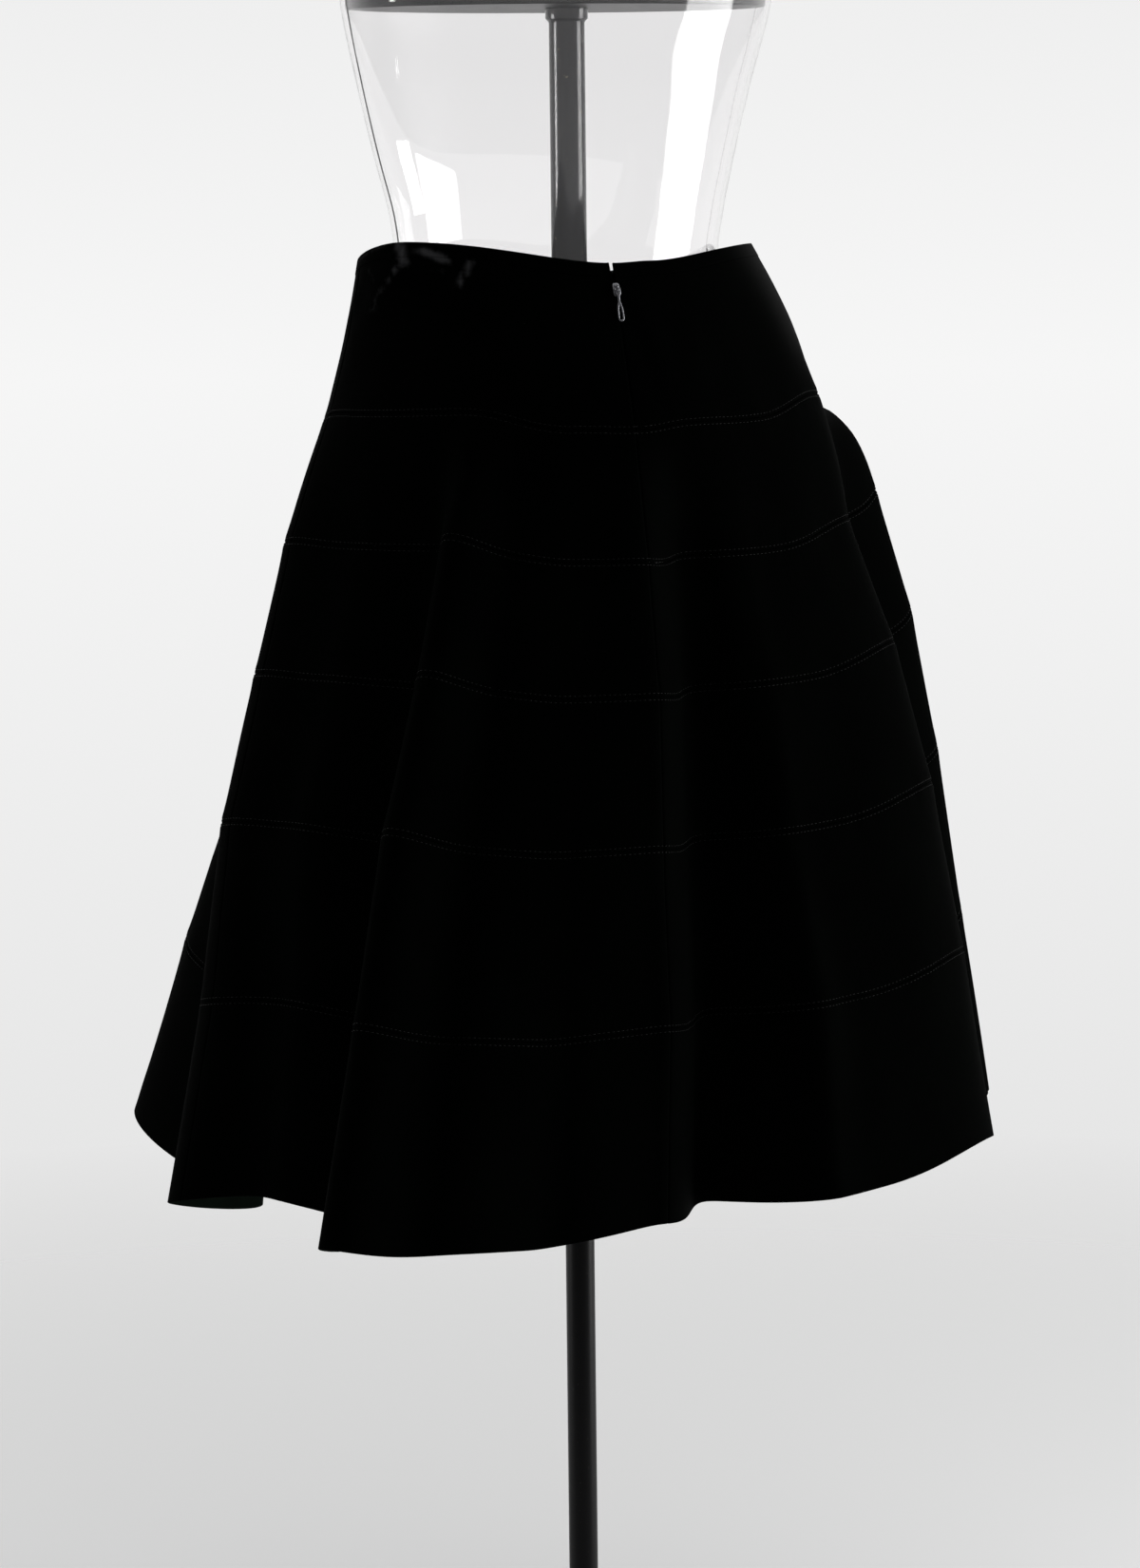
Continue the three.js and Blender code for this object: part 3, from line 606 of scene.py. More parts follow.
def clothPiece(name, node, start, to, top, bottom, thickness, out=0.0, rim=0.1):
    # a closed wall of cloth between two angles and two distances down, finer along its edges
    fine = [0, 0.3, 0.7, 1.1, 1.5, 1.85, 2.2, 2.55, 3.0, 3.8, 5.5, 8.5]
    if bottom - top < 20:
        downs = np.linspace(top, bottom, 7)
    else:
        downs = top + edgeSteps(bottom - top, fine)
    middle = arcLength(start, to, (top + bottom) / 2)
    columns = max(12, round(middle / skirt["columnStep"]))
    radius = middle / math.radians(to - start)
    ends = np.degrees(np.array([0, 0.4, 0.9, 1.5, 2.4]) / radius)
    inside = np.linspace(start + ends[-1], to - ends[-1], columns + 1)
    angle = np.concatenate([start + ends[:-1], inside, (to - ends[:-1])[::-1]])
    points, normal = clothSurface(angle, downs, start, to)
    # pull the two ends back from the seam, or from the open slit at the zip
    slitFrom = halfSlit(downs) if start == backSeam else np.full(len(downs), 0.15)
    slitTo = halfSlit(downs) if to in (backSeam, backSeam + 360) else np.full(len(downs), 0.15)
    across = points[:, 1:] - points[:, :-1]
    across /= np.linalg.norm(across, axis=2, keepdims=True)
    reach = np.degrees(1 / radius)
    weightFrom = np.exp(-((angle - start) / (reach * 3)) ** 2)
    weightTo = np.exp(-((angle - to) / (reach * 3)) ** 2)
    step = np.concatenate([across, across[:, -1:]], axis=1)
    points = points + step * (weightFrom[None, :, None] * slitFrom[:, None, None])
    points = points - step * (weightTo[None, :, None] * slitTo[:, None, None])
    outer = points + normal * out
    inner = points + normal * (out - thickness)
    rows, cols = outer.shape[:2]
    along = np.gradient(outer, axis=0)
    along /= np.linalg.norm(along, axis=2, keepdims=True)
    topRim = (outer[0] + inner[0]) / 2 - along[0] * rim
    bottomRim = (outer[-1] + inner[-1]) / 2 + along[-1] * rim
    section = np.concatenate([topRim[None], outer, bottomRim[None], inner[::-1]])
    n = section.shape[0]
    vertices = section.reshape(-1, 3)
    index = lambda i, j: (i % n) * cols + j
    faces, slots = [], []
    for i in range(n):
        for j in range(cols - 1):
            faces.append((index(i, j), index(i + 1, j), index(i + 1, j + 1), index(i, j + 1)))
            slots.append(1 if i > rows else 0)
    for j, flip in ((0, False), (cols - 1, True)):
        for i in range(rows - 1):
            a, b = index(1 + i, j), index(2 + i, j)
            c, d = index(2 * rows - i, j), index(2 * rows + 1 - i, j)
            faces.append((a, d, c, b) if not flip else (a, b, c, d))
            slots.append(0)
        first, last = index(0, j), index(rows + 1, j)
        for face in ((first, index(2 * rows + 1, j), index(1, j)),
                     (last, index(rows, j), index(rows + 2, j))):
            faces.append(face if not flip else face[::-1])
            slots.append(0)
    u = np.broadcast_to(np.radians(angle - start) * radius, (n, cols))
    v = np.concatenate([[downs[0]], downs, [downs[-1]], downs[::-1]])[:, None] + np.zeros((1, cols))
    uv = np.stack([u, v], axis=-1).reshape(-1, 2) * mm
    piece = makeObject(name, vertices, faces, [velvet, velvetBack], slots, uv=uv)
    for label, strokes in (("crush", crushedSheenStrokes), ("brush", paintedHighlightStrokes)):
        amount = strokeAmount(strokes, angle, downs)
        attribute = piece.data.attributes.new(label, "FLOAT", "POINT")
        attribute.data.foreach_set(
            "value", np.concatenate([amount[:1], amount, amount[-1:], amount[::-1]]).ravel())
    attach(piece, mainBody)
    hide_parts(node)


clothPiece("waistEdge", "waist_edge", backSeam, backSeam + 360, 0, skirt["bindingHeight"], 1.7,
           out=0.3, rim=0.35)
for k, band in enumerate(skirt["bandNames"]):
    top = skirt["bindingHeight"] + 0.3 if k == 0 else seamPlaces[k] + 0.15
    bottom = seamPlaces[k + 1] - (0.15 if k < 5 else 0)
    for label, node, start, to in panels:
        clothPiece(band + label, f"{band}_{node}", start, to, top, bottom, skirt["thickness"],
                   rim=0.4 if k == 5 else 0.08)
print("cloth made")


def repeatTree():
    # copies of one item at even steps along a path, each a little longer or shorter
    group = bpy.data.node_groups.new("repeatAlongPath", "GeometryNodeTree")
    for label, kind, value in [
            ("Path", "NodeSocketGeometry", None), ("Item", "NodeSocketObject", None),
            ("Pitch", "NodeSocketFloat", 0.003), ("Scale", "NodeSocketVector", (1, 1, 1)),
            ("Uneven", "NodeSocketFloat", 0.1), ("Seed", "NodeSocketInt", 1),
            ("Material", "NodeSocketMaterial", None)]:
        socket = group.interface.new_socket(label, in_out="INPUT", socket_type=kind)
        if value is not None:
            socket.default_value = value
    group.interface.new_socket("Geometry", in_out="OUTPUT", socket_type="NodeSocketGeometry")
    nodes, links = group.nodes, group.links
    start, end = nodes.new("NodeGroupInput"), nodes.new("NodeGroupOutput")
    curve = nodes.new("GeometryNodeMeshToCurve")
    spaced = nodes.new("GeometryNodeResampleCurve")
    spaced.mode = "LENGTH"
    links.new(start.outputs["Path"], curve.inputs["Mesh"])
    links.new(curve.outputs["Curve"], spaced.inputs["Curve"])
    links.new(start.outputs["Pitch"], spaced.inputs["Length"])
    item = nodes.new("GeometryNodeObjectInfo")
    links.new(start.outputs["Item"], item.inputs["Object"])
    tangent = nodes.new("GeometryNodeInputTangent")
    turn = nodes.new("FunctionNodeAlignRotationToVector")
    turn.axis = "X"
    links.new(tangent.outputs[0], turn.inputs["Vector"])
    low = mathValue(nodes, links, "SUBTRACT", 1, start.outputs["Uneven"])
    high = mathValue(nodes, links, "ADD", 1, start.outputs["Uneven"])
    random = nodes.new("FunctionNodeRandomValue")
    random.data_type = "FLOAT"
    links.new(low, random.inputs[2])
    links.new(high, random.inputs[3])
    links.new(start.outputs["Seed"], random.inputs["Seed"])
    scale = nodes.new("ShaderNodeVectorMath")
    scale.operation = "SCALE"
    links.new(start.outputs["Scale"], scale.inputs[0])
    links.new(random.outputs[1], scale.inputs["Scale"])
    placed = nodes.new("GeometryNodeInstanceOnPoints")
    links.new(spaced.outputs[0], placed.inputs["Points"])
    links.new(item.outputs["Geometry"], placed.inputs["Instance"])
    links.new(turn.outputs[0], placed.inputs["Rotation"])
    links.new(scale.outputs[0], placed.inputs["Scale"])
    real = nodes.new("GeometryNodeRealizeInstances")
    finish = nodes.new("GeometryNodeSetMaterial")
    links.new(placed.outputs[0], real.inputs[0])
    links.new(real.outputs[0], finish.inputs["Geometry"])
    links.new(start.outputs["Material"], finish.inputs["Material"])
    links.new(finish.outputs[0], end.inputs[0])
    return group


repeatAlongPath = repeatTree()


def repeatOn(name, points, values):
    mesh = bpy.data.meshes.new(name)
    mesh.from_pydata((np.asarray(points) * mm).tolist(),
                     [(i, i + 1) for i in range(len(points) - 1)], [])
    piece = addObject(name, mesh)
    modifier = piece.modifiers.new("repeat", "NODES")
    modifier.node_group = repeatAlongPath
    for socket in repeatAlongPath.interface.items_tree:
        if socket.in_out == "INPUT" and socket.name in values:
            modifier[socket.identifier] = values[socket.name]
    return applyModifiers(piece)


def itemFrom(name, shape):
    mesh = bpy.data.meshes.new(name)
    shape.to_mesh(mesh)
    shape.free()
    return addObject(name, mesh)


def smallBall(name):
    ball = bmesh.new()
    bmesh.ops.create_icosphere(ball, subdivisions=1, radius=0.5)
    for face in ball.faces:
        face.smooth = True
    return itemFrom(name, ball)


def smallBlock(name):
    block = bmesh.new()
    bmesh.ops.create_cube(block, size=1)
    bmesh.ops.bevel(block, geom=block.edges[:], offset=0.15, segments=1, affect="EDGES")
    return itemFrom(name, block)


stitching = {"pitch": 3.3, "length": 2.5, "thread": 0.5, "uneven": 0.12, "out": 0.02}
stitchItem = smallBall("stitchItem")


def stitchRow(name, start, to, down, seed):
    angle = np.linspace(start, to, max(20, int((to - start) * 3)))
    points, normal = clothSurface(angle, [down - 0.4, down, down + 0.4])
    path = points[1] + normal[1] * stitching["out"]
    piece = repeatOn(name, path, {
        "Item": stitchItem, "Pitch": stitching["pitch"] * mm,
        "Scale": (stitching["length"] * mm, stitching["thread"] * mm, stitching["thread"] * mm),
        "Uneven": stitching["uneven"], "Seed": seed, "Material": thread})
    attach(piece, mainBody)


for k, place in enumerate(seamPlaces[1:-1]):
    for side, label in ((-1, "Upper"), (1, "Lower")):
        stitchRow(f"seam{k + 1}Stitches{label}", backSeam + 0.4, backSeam + 359.6,
                  float(place) + side * stitchRows["offset"], 10 + 2 * k + side)
removeObject(stitchItem)
print("stitches made")


zipSizes = {
    "sliderDown": 18, "pivotOut": 3.4, "tapeWidth": 11, "tapeThickness": 0.9, "tapeDepth": 2.3,
    "zipLength": 176, "tapeStart": 12, "tapeGap": 0.9, "loopTop": -8.4,
    "loopWidth": 4.4, "holeWidth": 2.2, "toothPitch": 1.7, "pullLength": 22, "pullTilt": 5,
}


def sliderBasis(s):
    # x across the seam, y up the cloth and z out of it, on the pivot
    joint = next(j for j in frame["joints"] if j["name"] == "zip_pull_swing")
    across = -Vector(joint["axis"]).normalized()
    downs = [s["sliderDown"] + 3, s["sliderDown"] - 3]
    column = plainCloth(np.array([float(backSeam)]), downs)[:, 0]
    along = Vector(column[1] - column[0])
    normal = across.cross(along).normalized()
    up = normal.cross(across)
    return Matrix((across, up, normal)).transposed().to_4x4(), Vector(joint["pos_m"])


sliderTurn, sliderOrigin = sliderBasis(zipSizes)
sliderPlace = Matrix.Translation(sliderOrigin) @ sliderTurn


def flatShape(name, outlines, depth, bevel, turn, material):
    # a flat plate from closed outlines in mm, with rounded edges; an outline inside is a hole
    curve = bpy.data.curves.new(name, "CURVE")
    curve.dimensions = "2D"
    curve.fill_mode = "BOTH"
    curve.extrude = (depth / 2 - bevel) * mm
    curve.bevel_depth = bevel * mm
    curve.bevel_resolution = 2
    curve.offset = -bevel * mm
    for outline in outlines:
        spline = curve.splines.new("POLY")
        spline.points.add(len(outline) - 1)
        for point, (x, y) in zip(spline.points, outline):
            point.co = (x * mm, y * mm, 0, 1)
        spline.use_cyclic_u = True
    source = addObject(name, curve)
    mesh = bpy.data.meshes.new_from_object(
        source.evaluated_get(bpy.context.evaluated_depsgraph_get()))
    removeObject(source)
    mesh.transform(turn)
    mesh.materials.clear()
    mesh.materials.append(material)
    piece = addObject(name, mesh)
    merged = bmesh.new()
    merged.from_mesh(mesh)
    bmesh.ops.remove_doubles(merged, verts=merged.verts, dist=1e-6)
    bmesh.ops.recalc_face_normals(merged, faces=merged.faces)
    merged.to_mesh(mesh)
    merged.free()
    return piece


def joinPieces(name, pieces):
    joined = bmesh.new()
    for piece in pieces:
        joined.from_mesh(piece.data)
    whole = itemFrom(name, joined)
    whole.data.materials.append(pieces[0].data.materials[0])
    for piece in pieces:
        removeObject(piece)
    return whole


def arc(x, y, r, start, stop, count=10):
    return [(x + r * math.cos(t), y + r * math.sin(t))
            for t in np.radians(np.linspace(start, stop, count))]


def roundedOutline(halfWidth, bottom, top, corner):
    return (arc(halfWidth - corner, top - corner, corner, 0, 90, 6)
            + arc(corner - halfWidth, top - corner, corner, 90, 180, 6)
            + arc(corner - halfWidth, bottom + corner, corner, 180, 270, 6)
            + arc(halfWidth - corner, bottom + corner, corner, 270, 360, 6))


def makeSlider(s):
    face = 0.3 - s["pivotOut"]
    lift = lambda z: sliderPlace @ Matrix.Translation((0, 0, z * mm))
    plate = flatShape("plate", [roundedOutline(2.4, -4.6, 4.4, 1.6)], 1.7, 0.35,
                      lift(face + 0.85), zipMetal)
    nose = flatShape("nose", [roundedOutline(1.5, 1.2, 4.0, 0.9)], 0.9, 0.25,
                     lift(face + 1.9), zipMetal)
    stem = flatShape("stem", [roundedOutline(0.45, 1.3, 3.9, 0.3)], 6.0, 0.1,
                     lift(face - 2), zipMetal)
    inside = flatShape("inside", [roundedOutline(3, -3.4, 4.4, 1.6)], 1.2, 0.3,
                       lift(face - 4.6), zipMetal)
    # the arch stands out of the plate, so its outline is drawn in the plane of y and z
    side = Matrix(((0, 0, 1, 0), (1, 0, 0, 0), (0, 1, 0, 0), (0, 0, 0, 1)))
    arch = [(-2.1, face + 1)] + arc(0, 0, 2.1, 180, 0, 16) + [(2.1, face + 1), (1.3, face + 1)] \
        + arc(0, 0, 1.3, 0, 180, 14) + [(-1.3, face + 1)]
    bail = flatShape("bail", [arch], 1.6, 0.25, sliderPlace @ side, zipMetal)
    return joinPieces("zipSlider", [plate, nose, stem, inside, bail])


def makePull(s):
    # two short arms, a neck and a long drop shaped loop
    half, hole, loopTop = s["loopWidth"] / 2, s["holeWidth"] / 2, s["loopTop"]
    drop = half - s["pullLength"]
    leftSide = [(-2, 0.6), (-2, -3.4), (-0.9, -5), (-0.75, loopTop), (-1.2, loopTop - 1.6),
                (-half + 0.15, loopTop - 5), (-half, drop + 1.5)]
    outline = leftSide + arc(0, drop, half, 180, 360, 18) + [(-x, y) for x, y in reversed(leftSide)]
    slot = [(-1.15, -0.6), (-1.15, -2.6), (1.15, -2.6), (1.15, -0.6)]
    inner = arc(0, drop, hole, 180, 360, 12) + [
        (hole - 0.1, loopTop - 6.5), (hole - 0.5, loopTop - 4), (0, loopTop - 2.4),
        (0.5 - hole, loopTop - 4), (0.1 - hole, loopTop - 6.5)]
    tilt = Matrix.Rotation(math.radians(s["pullTilt"]), 4, "X")
    return flatShape("zipPull", [outline, slot, inner], 1.1, 0.3, sliderPlace @ tilt, zipMetal)


def smoothFlats(piece, degrees=40):
    piece.data.polygons.foreach_set("use_smooth", [True] * len(piece.data.polygons))
    piece.data.set_sharp_from_angle(angle=math.radians(degrees))


zipSlider = makeSlider(zipSizes)
zipPull = makePull(zipSizes)
for piece, body, node in ((zipSlider, mainBody, "zip_slider"), (zipPull, pullBody, "zip_pull")):
    smoothFlats(piece)
    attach(piece, body)
    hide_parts(node)


def zipTape(name, node, side, s):
    # taken from the points of the cloth over it, so it follows the folds
    downs = np.linspace(s["tapeStart"], s["zipLength"], 80)
    offsets = np.linspace(s["tapeGap"], s["tapeWidth"], 8)
    surface, normal = clothSurface(backSeam + side * np.linspace(0.3, 9, 28), downs)
    outer, inner = [], []
    for points, normals in zip(surface, normal):
        steps = np.linalg.norm(np.diff(points, axis=0), axis=1)
        reach = 0.5 + np.concatenate([[0], np.cumsum(steps)])
        place = np.stack([np.interp(offsets, reach, points[:, c]) for c in range(3)], axis=-1)
        facing = np.stack([np.interp(offsets, reach, normals[:, c]) for c in range(3)], axis=-1)
        facing *= side
        outer.append(place - facing * s["tapeDepth"])
        inner.append(place - facing * (s["tapeDepth"] + s["tapeThickness"]))
    outer, inner = np.array(outer), np.array(inner)
    rows = len(downs)
    section = np.concatenate([outer, inner[:, ::-1]], axis=1)
    n = section.shape[1]
    faces = [(i * n + j, i * n + (j + 1) % n, (i + 1) * n + (j + 1) % n, (i + 1) * n + j)
             for i in range(rows - 1) for j in range(n)]
    faces += [tuple(range(n))[::-1], tuple((rows - 1) * n + j for j in range(n))]
    piece = makeObject(name, section.reshape(-1, 3), faces, [tapeCloth])
    faceOut(piece)
    piece.data.set_sharp_from_angle(angle=math.radians(50))
    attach(piece, mainBody)
    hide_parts(node)
    return outer[:, 0], inner[:, 0]


toothItem = smallBlock("toothItem")
for name, node, side in (("zipTapeLeft", "zip_tape_left", -1),
                         ("zipTapeRight", "zip_tape_right", 1)):
    near, back = zipTape(name, node, side, zipSizes)
    teeth = repeatOn(name.replace("Tape", "Teeth"), (near[4:] + back[4:]) / 2, {
        "Item": toothItem, "Pitch": zipSizes["toothPitch"] * mm,
        "Scale": (0.9 * mm, 1.0 * mm, 1.3 * mm), "Uneven": 0.03, "Seed": 5, "Material": tapeCloth})
    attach(teeth, mainBody)
removeObject(toothItem)
print("zip made")


form = {"wall": 3.0, "around": 128, "between": 5}
# height, half width, half depth, centre x, centre y
formSections = np.array([
    (838, 138, 108, 6, -1), (870, 147, 114, 6, -2), (910, 149, 116, 6, -3),
    (945, 142, 109.5, 7, -2), (985, 127, 96, 8, 1), (1022, 114, 88, 9, 2.1),
    (1040, 112, 85, 9, 1), (1065, 115.5, 83.5, 7.8, -1), (1100, 124, 86.5, 7.4, -4),
    (1150, 136, 97, 5, -10), (1205, 148.5, 112, 1.5, -14), (1250, 154, 109, 1, -12),
    (1300, 158, 96, 1.5, -6), (1345, 159, 84, 2, 0), (1380, 147, 73, 3, 3),
    (1402, 117, 64, 3.5, 4), (1418, 82, 57, 4, 3), (1436, 60, 51, 4, 1), (1462, 52, 49, 4, -2),
    (1484, 50, 48, 4, -4), (1494, 40, 39, 4, -4), (1499, 22, 21, 4, -4), (1501, 3, 3, 4, -4),
], float)


def smoothSections(rows, between):
    # a curve through every section, without swinging past any of them
    out = []
    n = len(rows)
    slope = np.zeros_like(rows)
    gaps = np.diff(rows, axis=0)
    for i in range(1, n - 1):
        same = gaps[i - 1] * gaps[i] > 0
        harmonic = 2 * gaps[i - 1] * gaps[i] / np.where(same, gaps[i - 1] + gaps[i], 1)
        slope[i] = np.where(same, harmonic, 0)
    slope[0], slope[-1] = gaps[0], gaps[-1]
    for i in range(n - 1):
        for t in np.arange(between) / between:
            h00, h10 = 2 * t ** 3 - 3 * t ** 2 + 1, t ** 3 - 2 * t ** 2 + t
            h01, h11 = 3 * t ** 2 - 2 * t ** 3, t ** 3 - t ** 2
            out.append(h00 * rows[i] + h10 * slope[i] + h01 * rows[i + 1] + h11 * slope[i + 1])
    out.append(rows[-1])
    return np.array(out)


def makeForm(name, node, side, s):
    # one moulded half, from one side seam to the other; side is 1 at the back
    sections = smoothSections(formSections, s["between"])
    t = np.linspace(0, np.pi, s["around"] // 2 + 1) + (0 if side > 0 else np.pi)
    outer = np.stack([sections[:, 3, None] + sections[:, 1, None] * np.cos(t),
                      sections[:, 4, None] + sections[:, 2, None] * np.sin(t),
                      sections[:, 0, None] + 0 * t], axis=-1)
    normal = np.cross(np.gradient(outer, axis=1), np.gradient(outer, axis=0))
    normal /= np.maximum(np.linalg.norm(normal, axis=2, keepdims=True), 1e-9)
    normal[0, :, 2] = 0
    outer[:, [0, -1], 1] += side * skirt["seamGap"] / 2
    inner = outer - normal * s["wall"]
    inner[:, [0, -1], 1] = outer[:, [0, -1], 1]
    rim = (outer[0] + inner[0]) / 2 - np.array([0, 0, 1.0])
    section = np.concatenate([inner[::-1], rim[None], outer])
    rows, cols = section.shape[:2]
    at = lambda i, j: i * cols + j
    faces = [(at(i, j), at(i, j + 1), at(i + 1, j + 1), at(i + 1, j))
             for i in range(rows - 1) for j in range(cols - 1)]
    low = len(sections) - 1   # the row of the inner bottom edge; the rim comes after it
    for j in (0, cols - 1):
        faces.append((at(low, j), at(low + 1, j), at(low + 2, j)))
        for i in range(low):
            faces.append((at(low - i, j), at(low + 2 + i, j),
                          at(low + 3 + i, j), at(low - i - 1, j)))
    last = rows - 1
    faces.append(tuple(at(last, j) for j in range(cols)))
    faces.append(tuple(at(0, j) for j in range(cols)))
    faces.append((at(0, 0), at(last, 0), at(last, cols - 1), at(0, cols - 1)))
    piece = makeObject(name, section.reshape(-1, 3), faces, [clearPlastic])
    faceOut(piece)
    piece.data.set_sharp_from_angle(angle=math.radians(50))
    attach(piece, mainBody)
    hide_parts(node)


makeForm("formBack", "form_back", 1, form)
makeForm("formFront", "form_front", -1, form)


def turnedPiece(name, node, profile, material, around=96, sharp=35):
    # profile is a closed line of radius and height in mm, or an open one from axis to axis
    closed = profile[0] == profile[-1]
    points = profile[:-1] if closed else profile
    vertices, rings = [], []
    for r, z in points:
        if r == 0:
            rings.append([len(vertices)] * around)
            vertices.append((0, 0, z))
        else:
            rings.append(list(range(len(vertices), len(vertices) + around)))
            vertices += [(r * math.cos(t), r * math.sin(t), z)
                         for t in np.linspace(0, 2 * math.pi, around, endpoint=False)]
    faces = []
    for i in range(len(rings) if closed else len(rings) - 1):
        low, high = rings[i], rings[(i + 1) % len(rings)]
        for j in range(around):
            k = (j + 1) % around
            face = list(dict.fromkeys([low[j], low[k], high[k], high[j]]))
            if len(face) > 2:
                faces.append(face)
    piece = makeObject(name, vertices, faces, [material])
    piece.data.set_sharp_from_angle(angle=math.radians(sharp))
    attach(piece, mainBody)
    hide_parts(node)


stand = {
    "poleRadius": 10, "socketRadius": 12, "flangeRadius": 14.25, "socketBottom": 800,
    "plateHeight": 1202, "plateThickness": 8, "baseRadius": 160, "baseThickness": 8,
    "hubRadius": 21, "hubHeight": 46,
}
socketTop = stand["plateHeight"] - 0.3
inside = stand["poleRadius"] + 0.3
baseEdge, baseTop = stand["baseRadius"], stand["baseThickness"]
hubEdge, hubTop = stand["hubRadius"], stand["hubHeight"]
turnedPiece("socketTube", "form_socket", [
    (inside, stand["socketBottom"]), (stand["socketRadius"] - 0.6, stand["socketBottom"]),
    (stand["socketRadius"], stand["socketBottom"] + 0.6), (stand["socketRadius"], socketTop - 9.5),
    (stand["socketRadius"] + 0.8, socketTop - 8.2), (stand["flangeRadius"] - 0.4, socketTop - 7.2),
    (stand["flangeRadius"], socketTop - 6.6), (stand["flangeRadius"], socketTop),
    (inside, socketTop), (inside, stand["socketBottom"])], tubePaint)
turnedPiece("standPole", "pole", [
    (0, baseTop + 0.3), (stand["poleRadius"], baseTop + 0.3),
    (stand["poleRadius"], socketTop), (0, socketTop)],
    polePaint)
turnedPiece("standBase", "base", [
    (0, 0), (baseEdge - 1.4, 0), (baseEdge - 0.4, 0.4), (baseEdge, 1.4), (baseEdge, baseTop - 2.4),
    (baseEdge - 0.6, baseTop - 1), (baseEdge - 2, baseTop), (60, baseTop + 0.4),
    (30, baseTop + 1.2), (hubEdge + 4, baseTop + 2.4), (hubEdge + 1.2, baseTop + 4.6),
    (hubEdge, baseTop + 8), (hubEdge, hubTop - 3), (hubEdge - 0.6, hubTop - 1),
    (hubEdge - 2.4, hubTop), (inside + 1, hubTop), (inside, hubTop - 0.8), (inside, baseTop),
    (0, baseTop)], polePaint, around=144)


def makePlate(s):
    row = smoothSections(formSections, 8)
    _, a, b, x, y = row[np.argmin(np.abs(row[:, 0] - s["plateHeight"]))]
    inset = form["wall"] + 1.2
    count = 120
    t = np.linspace(0, 2 * np.pi, count, endpoint=False)
    vertices, rings = [], []
    for shrink, z in ((1, 0), (0, 1), (0, s["plateThickness"] - 1), (1, s["plateThickness"])):
        rings.append(len(vertices))
        vertices += [(x + (a - inset - shrink) * math.cos(k),
                      y + (b - inset - shrink) * math.sin(k), s["plateHeight"] + z) for k in t]
    faces = [tuple(range(count))[::-1], tuple(rings[3] + j for j in range(count))]
    for low, high in zip(rings, rings[1:]):
        for j in range(count):
            k = (j + 1) % count
            faces.append((low + j, low + k, high + k, high + j))
    piece = makeObject("formPlate", vertices, faces, [darkPlastic])
    piece.data.set_sharp_from_angle(angle=math.radians(35))
    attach(piece, mainBody)
    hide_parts("form_plate")


makePlate(stand)
print("form and stand made")


studio = {
    "floorRadius": 2.2, "floorColor": 0.78,
    "backdropTop": 0.92, "backdropHorizon": 0.845, "backdropMiddle": 0.81, "backdropLow": 0.72,
    "darkSide": 0.10, "ceiling": 0.75,
}


def makeFloor(s):
    disc = bmesh.new()
    bmesh.ops.create_circle(disc, cap_ends=True, radius=s["floorRadius"], segments=96)
    floor = itemFrom("floor", disc)
    material, nodes, links, shader = newMaterial("floorPaper")
    coordinates = nodes.new("ShaderNodeTexCoord")
    away = nodes.new("ShaderNodeVectorMath")
    away.operation = "LENGTH"
    links.new(coordinates.outputs["Object"], away.inputs[0])
    links.new(mapRange(nodes, links, away.outputs["Value"], 0.35, s["floorRadius"] - 0.1, 1, 0),
              shader.inputs["Alpha"])
    shader.inputs["Base Color"].default_value = grey(s["floorColor"])
    shader.inputs["Roughness"].default_value = 0.9
    shader.inputs["Specular IOR Level"].default_value = 0.1
    floor.data.materials.append(material)


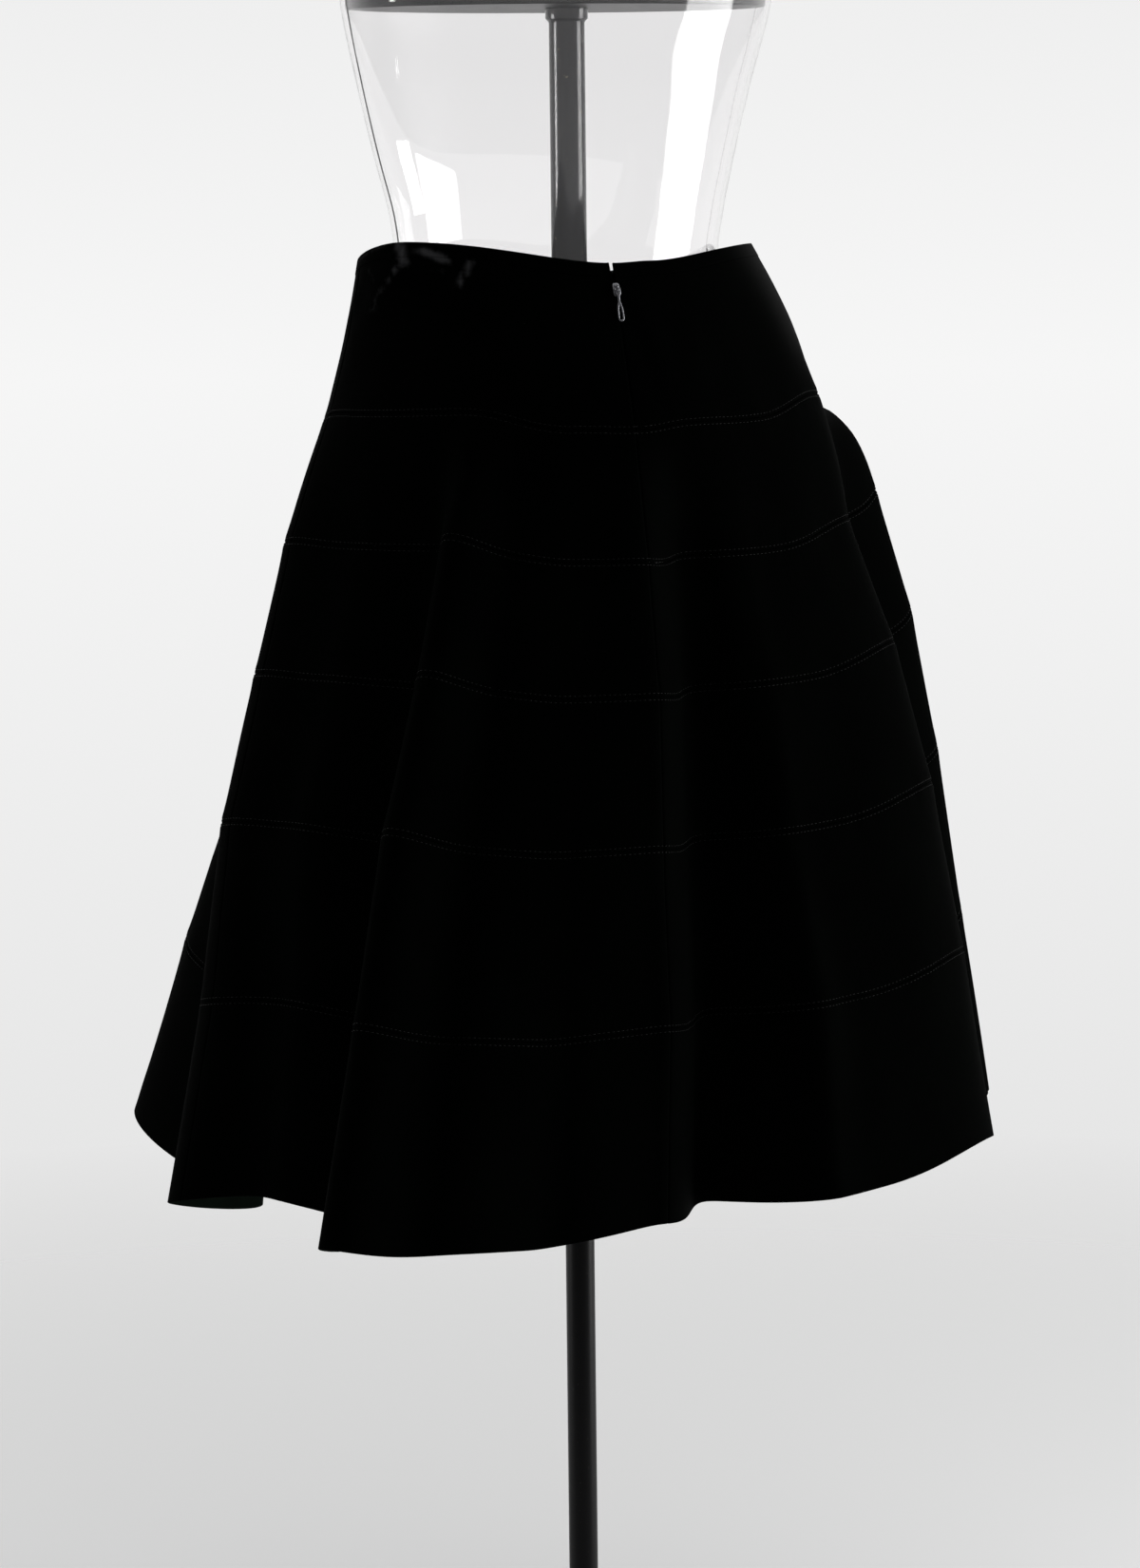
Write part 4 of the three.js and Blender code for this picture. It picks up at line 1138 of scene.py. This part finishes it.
def makeSky(s):
    # a pale backdrop all round; what the object reflects is the backdrop, a soft ceiling and a
    # darker room on the side of the photographer
    world = bpy.data.worlds.new("studioWorld")
    world.use_nodes = True
    nodes, links = world.node_tree.nodes, world.node_tree.links
    nodes.clear()
    coordinates = nodes.new("ShaderNodeTexCoord")
    split = nodes.new("ShaderNodeSeparateXYZ")
    links.new(coordinates.outputs["Generated"], split.inputs[0])
    ramp = nodes.new("ShaderNodeValToRGB")
    links.new(mapRange(nodes, links, split.outputs["Z"], -0.32, 0.06, 0, 1), ramp.inputs[0])
    stops = ramp.color_ramp.elements
    stops[0].position, stops[1].position = 0.05, 1.0
    stops.new(0.35)
    stops.new(0.72)
    for stop, part in zip(stops, ("Low", "Middle", "Top", "Horizon")):
        stop.color = grey(s["backdrop" + part])
    turn = math.radians(cameraSettings["azimuth"])
    facing = nodes.new("ShaderNodeVectorMath")
    facing.operation = "DOT_PRODUCT"
    links.new(coordinates.outputs["Generated"], facing.inputs[0])
    facing.inputs[1].default_value = (-math.sin(turn), math.cos(turn), 0)
    behind = mapRange(nodes, links, facing.outputs["Value"], 0.0, 0.45, s["darkSide"], 0.9)
    above = mapRange(nodes, links, split.outputs["Z"], 0.45, 0.75, 0, s["ceiling"])
    room = mathValue(nodes, links, "MAXIMUM", behind, above)
    path = nodes.new("ShaderNodeLightPath")
    seen = mathValue(nodes, links, "MAXIMUM", path.outputs["Is Camera Ray"],
                     path.outputs["Is Transmission Ray"])
    shown = mixColors(nodes, links, seen, room, ramp.outputs["Color"])
    background = nodes.new("ShaderNodeBackground")
    links.new(shown, background.inputs["Color"])
    output = nodes.new("ShaderNodeOutputWorld")
    links.new(background.outputs[0], output.inputs[0])
    bpy.context.scene.world = world


softboxes = [
    # name, turn from the camera, distance and height in metres, width, how tall, watts
    ("softboxRight", 88, 1.9, 0.8, 1.0, 2.1, 40),
    ("softboxLeft", -84, 2.2, 0.4, 0.6, 0.62, 13),
    ("cardLeft", -74, 2.1, 1.0, 0.17, 0.14, 1),
]
softboxAim = 0.9   # height that they point at


def softbox(name, turn, distance, height, width, tall, energy):
    data = bpy.data.lights.new(name, "AREA")
    data.shape = "RECTANGLE"
    data.size, data.size_y = width, tall
    data.energy = energy
    angle = math.radians(cameraSettings["azimuth"] + turn)
    place = Vector((math.sin(angle) * distance, -math.cos(angle) * distance, height))
    facing = (Vector((0, 0, softboxAim)) - place).to_track_quat("-Z", "Y").to_matrix().to_4x4()
    addObject(name, data).matrix_world = Matrix.Translation(place) @ facing


makeFloor(studio)
makeSky(studio)
for row in softboxes:
    softbox(*row)
bpy.context.scene.view_settings.view_transform = "Standard"
print("studio made")
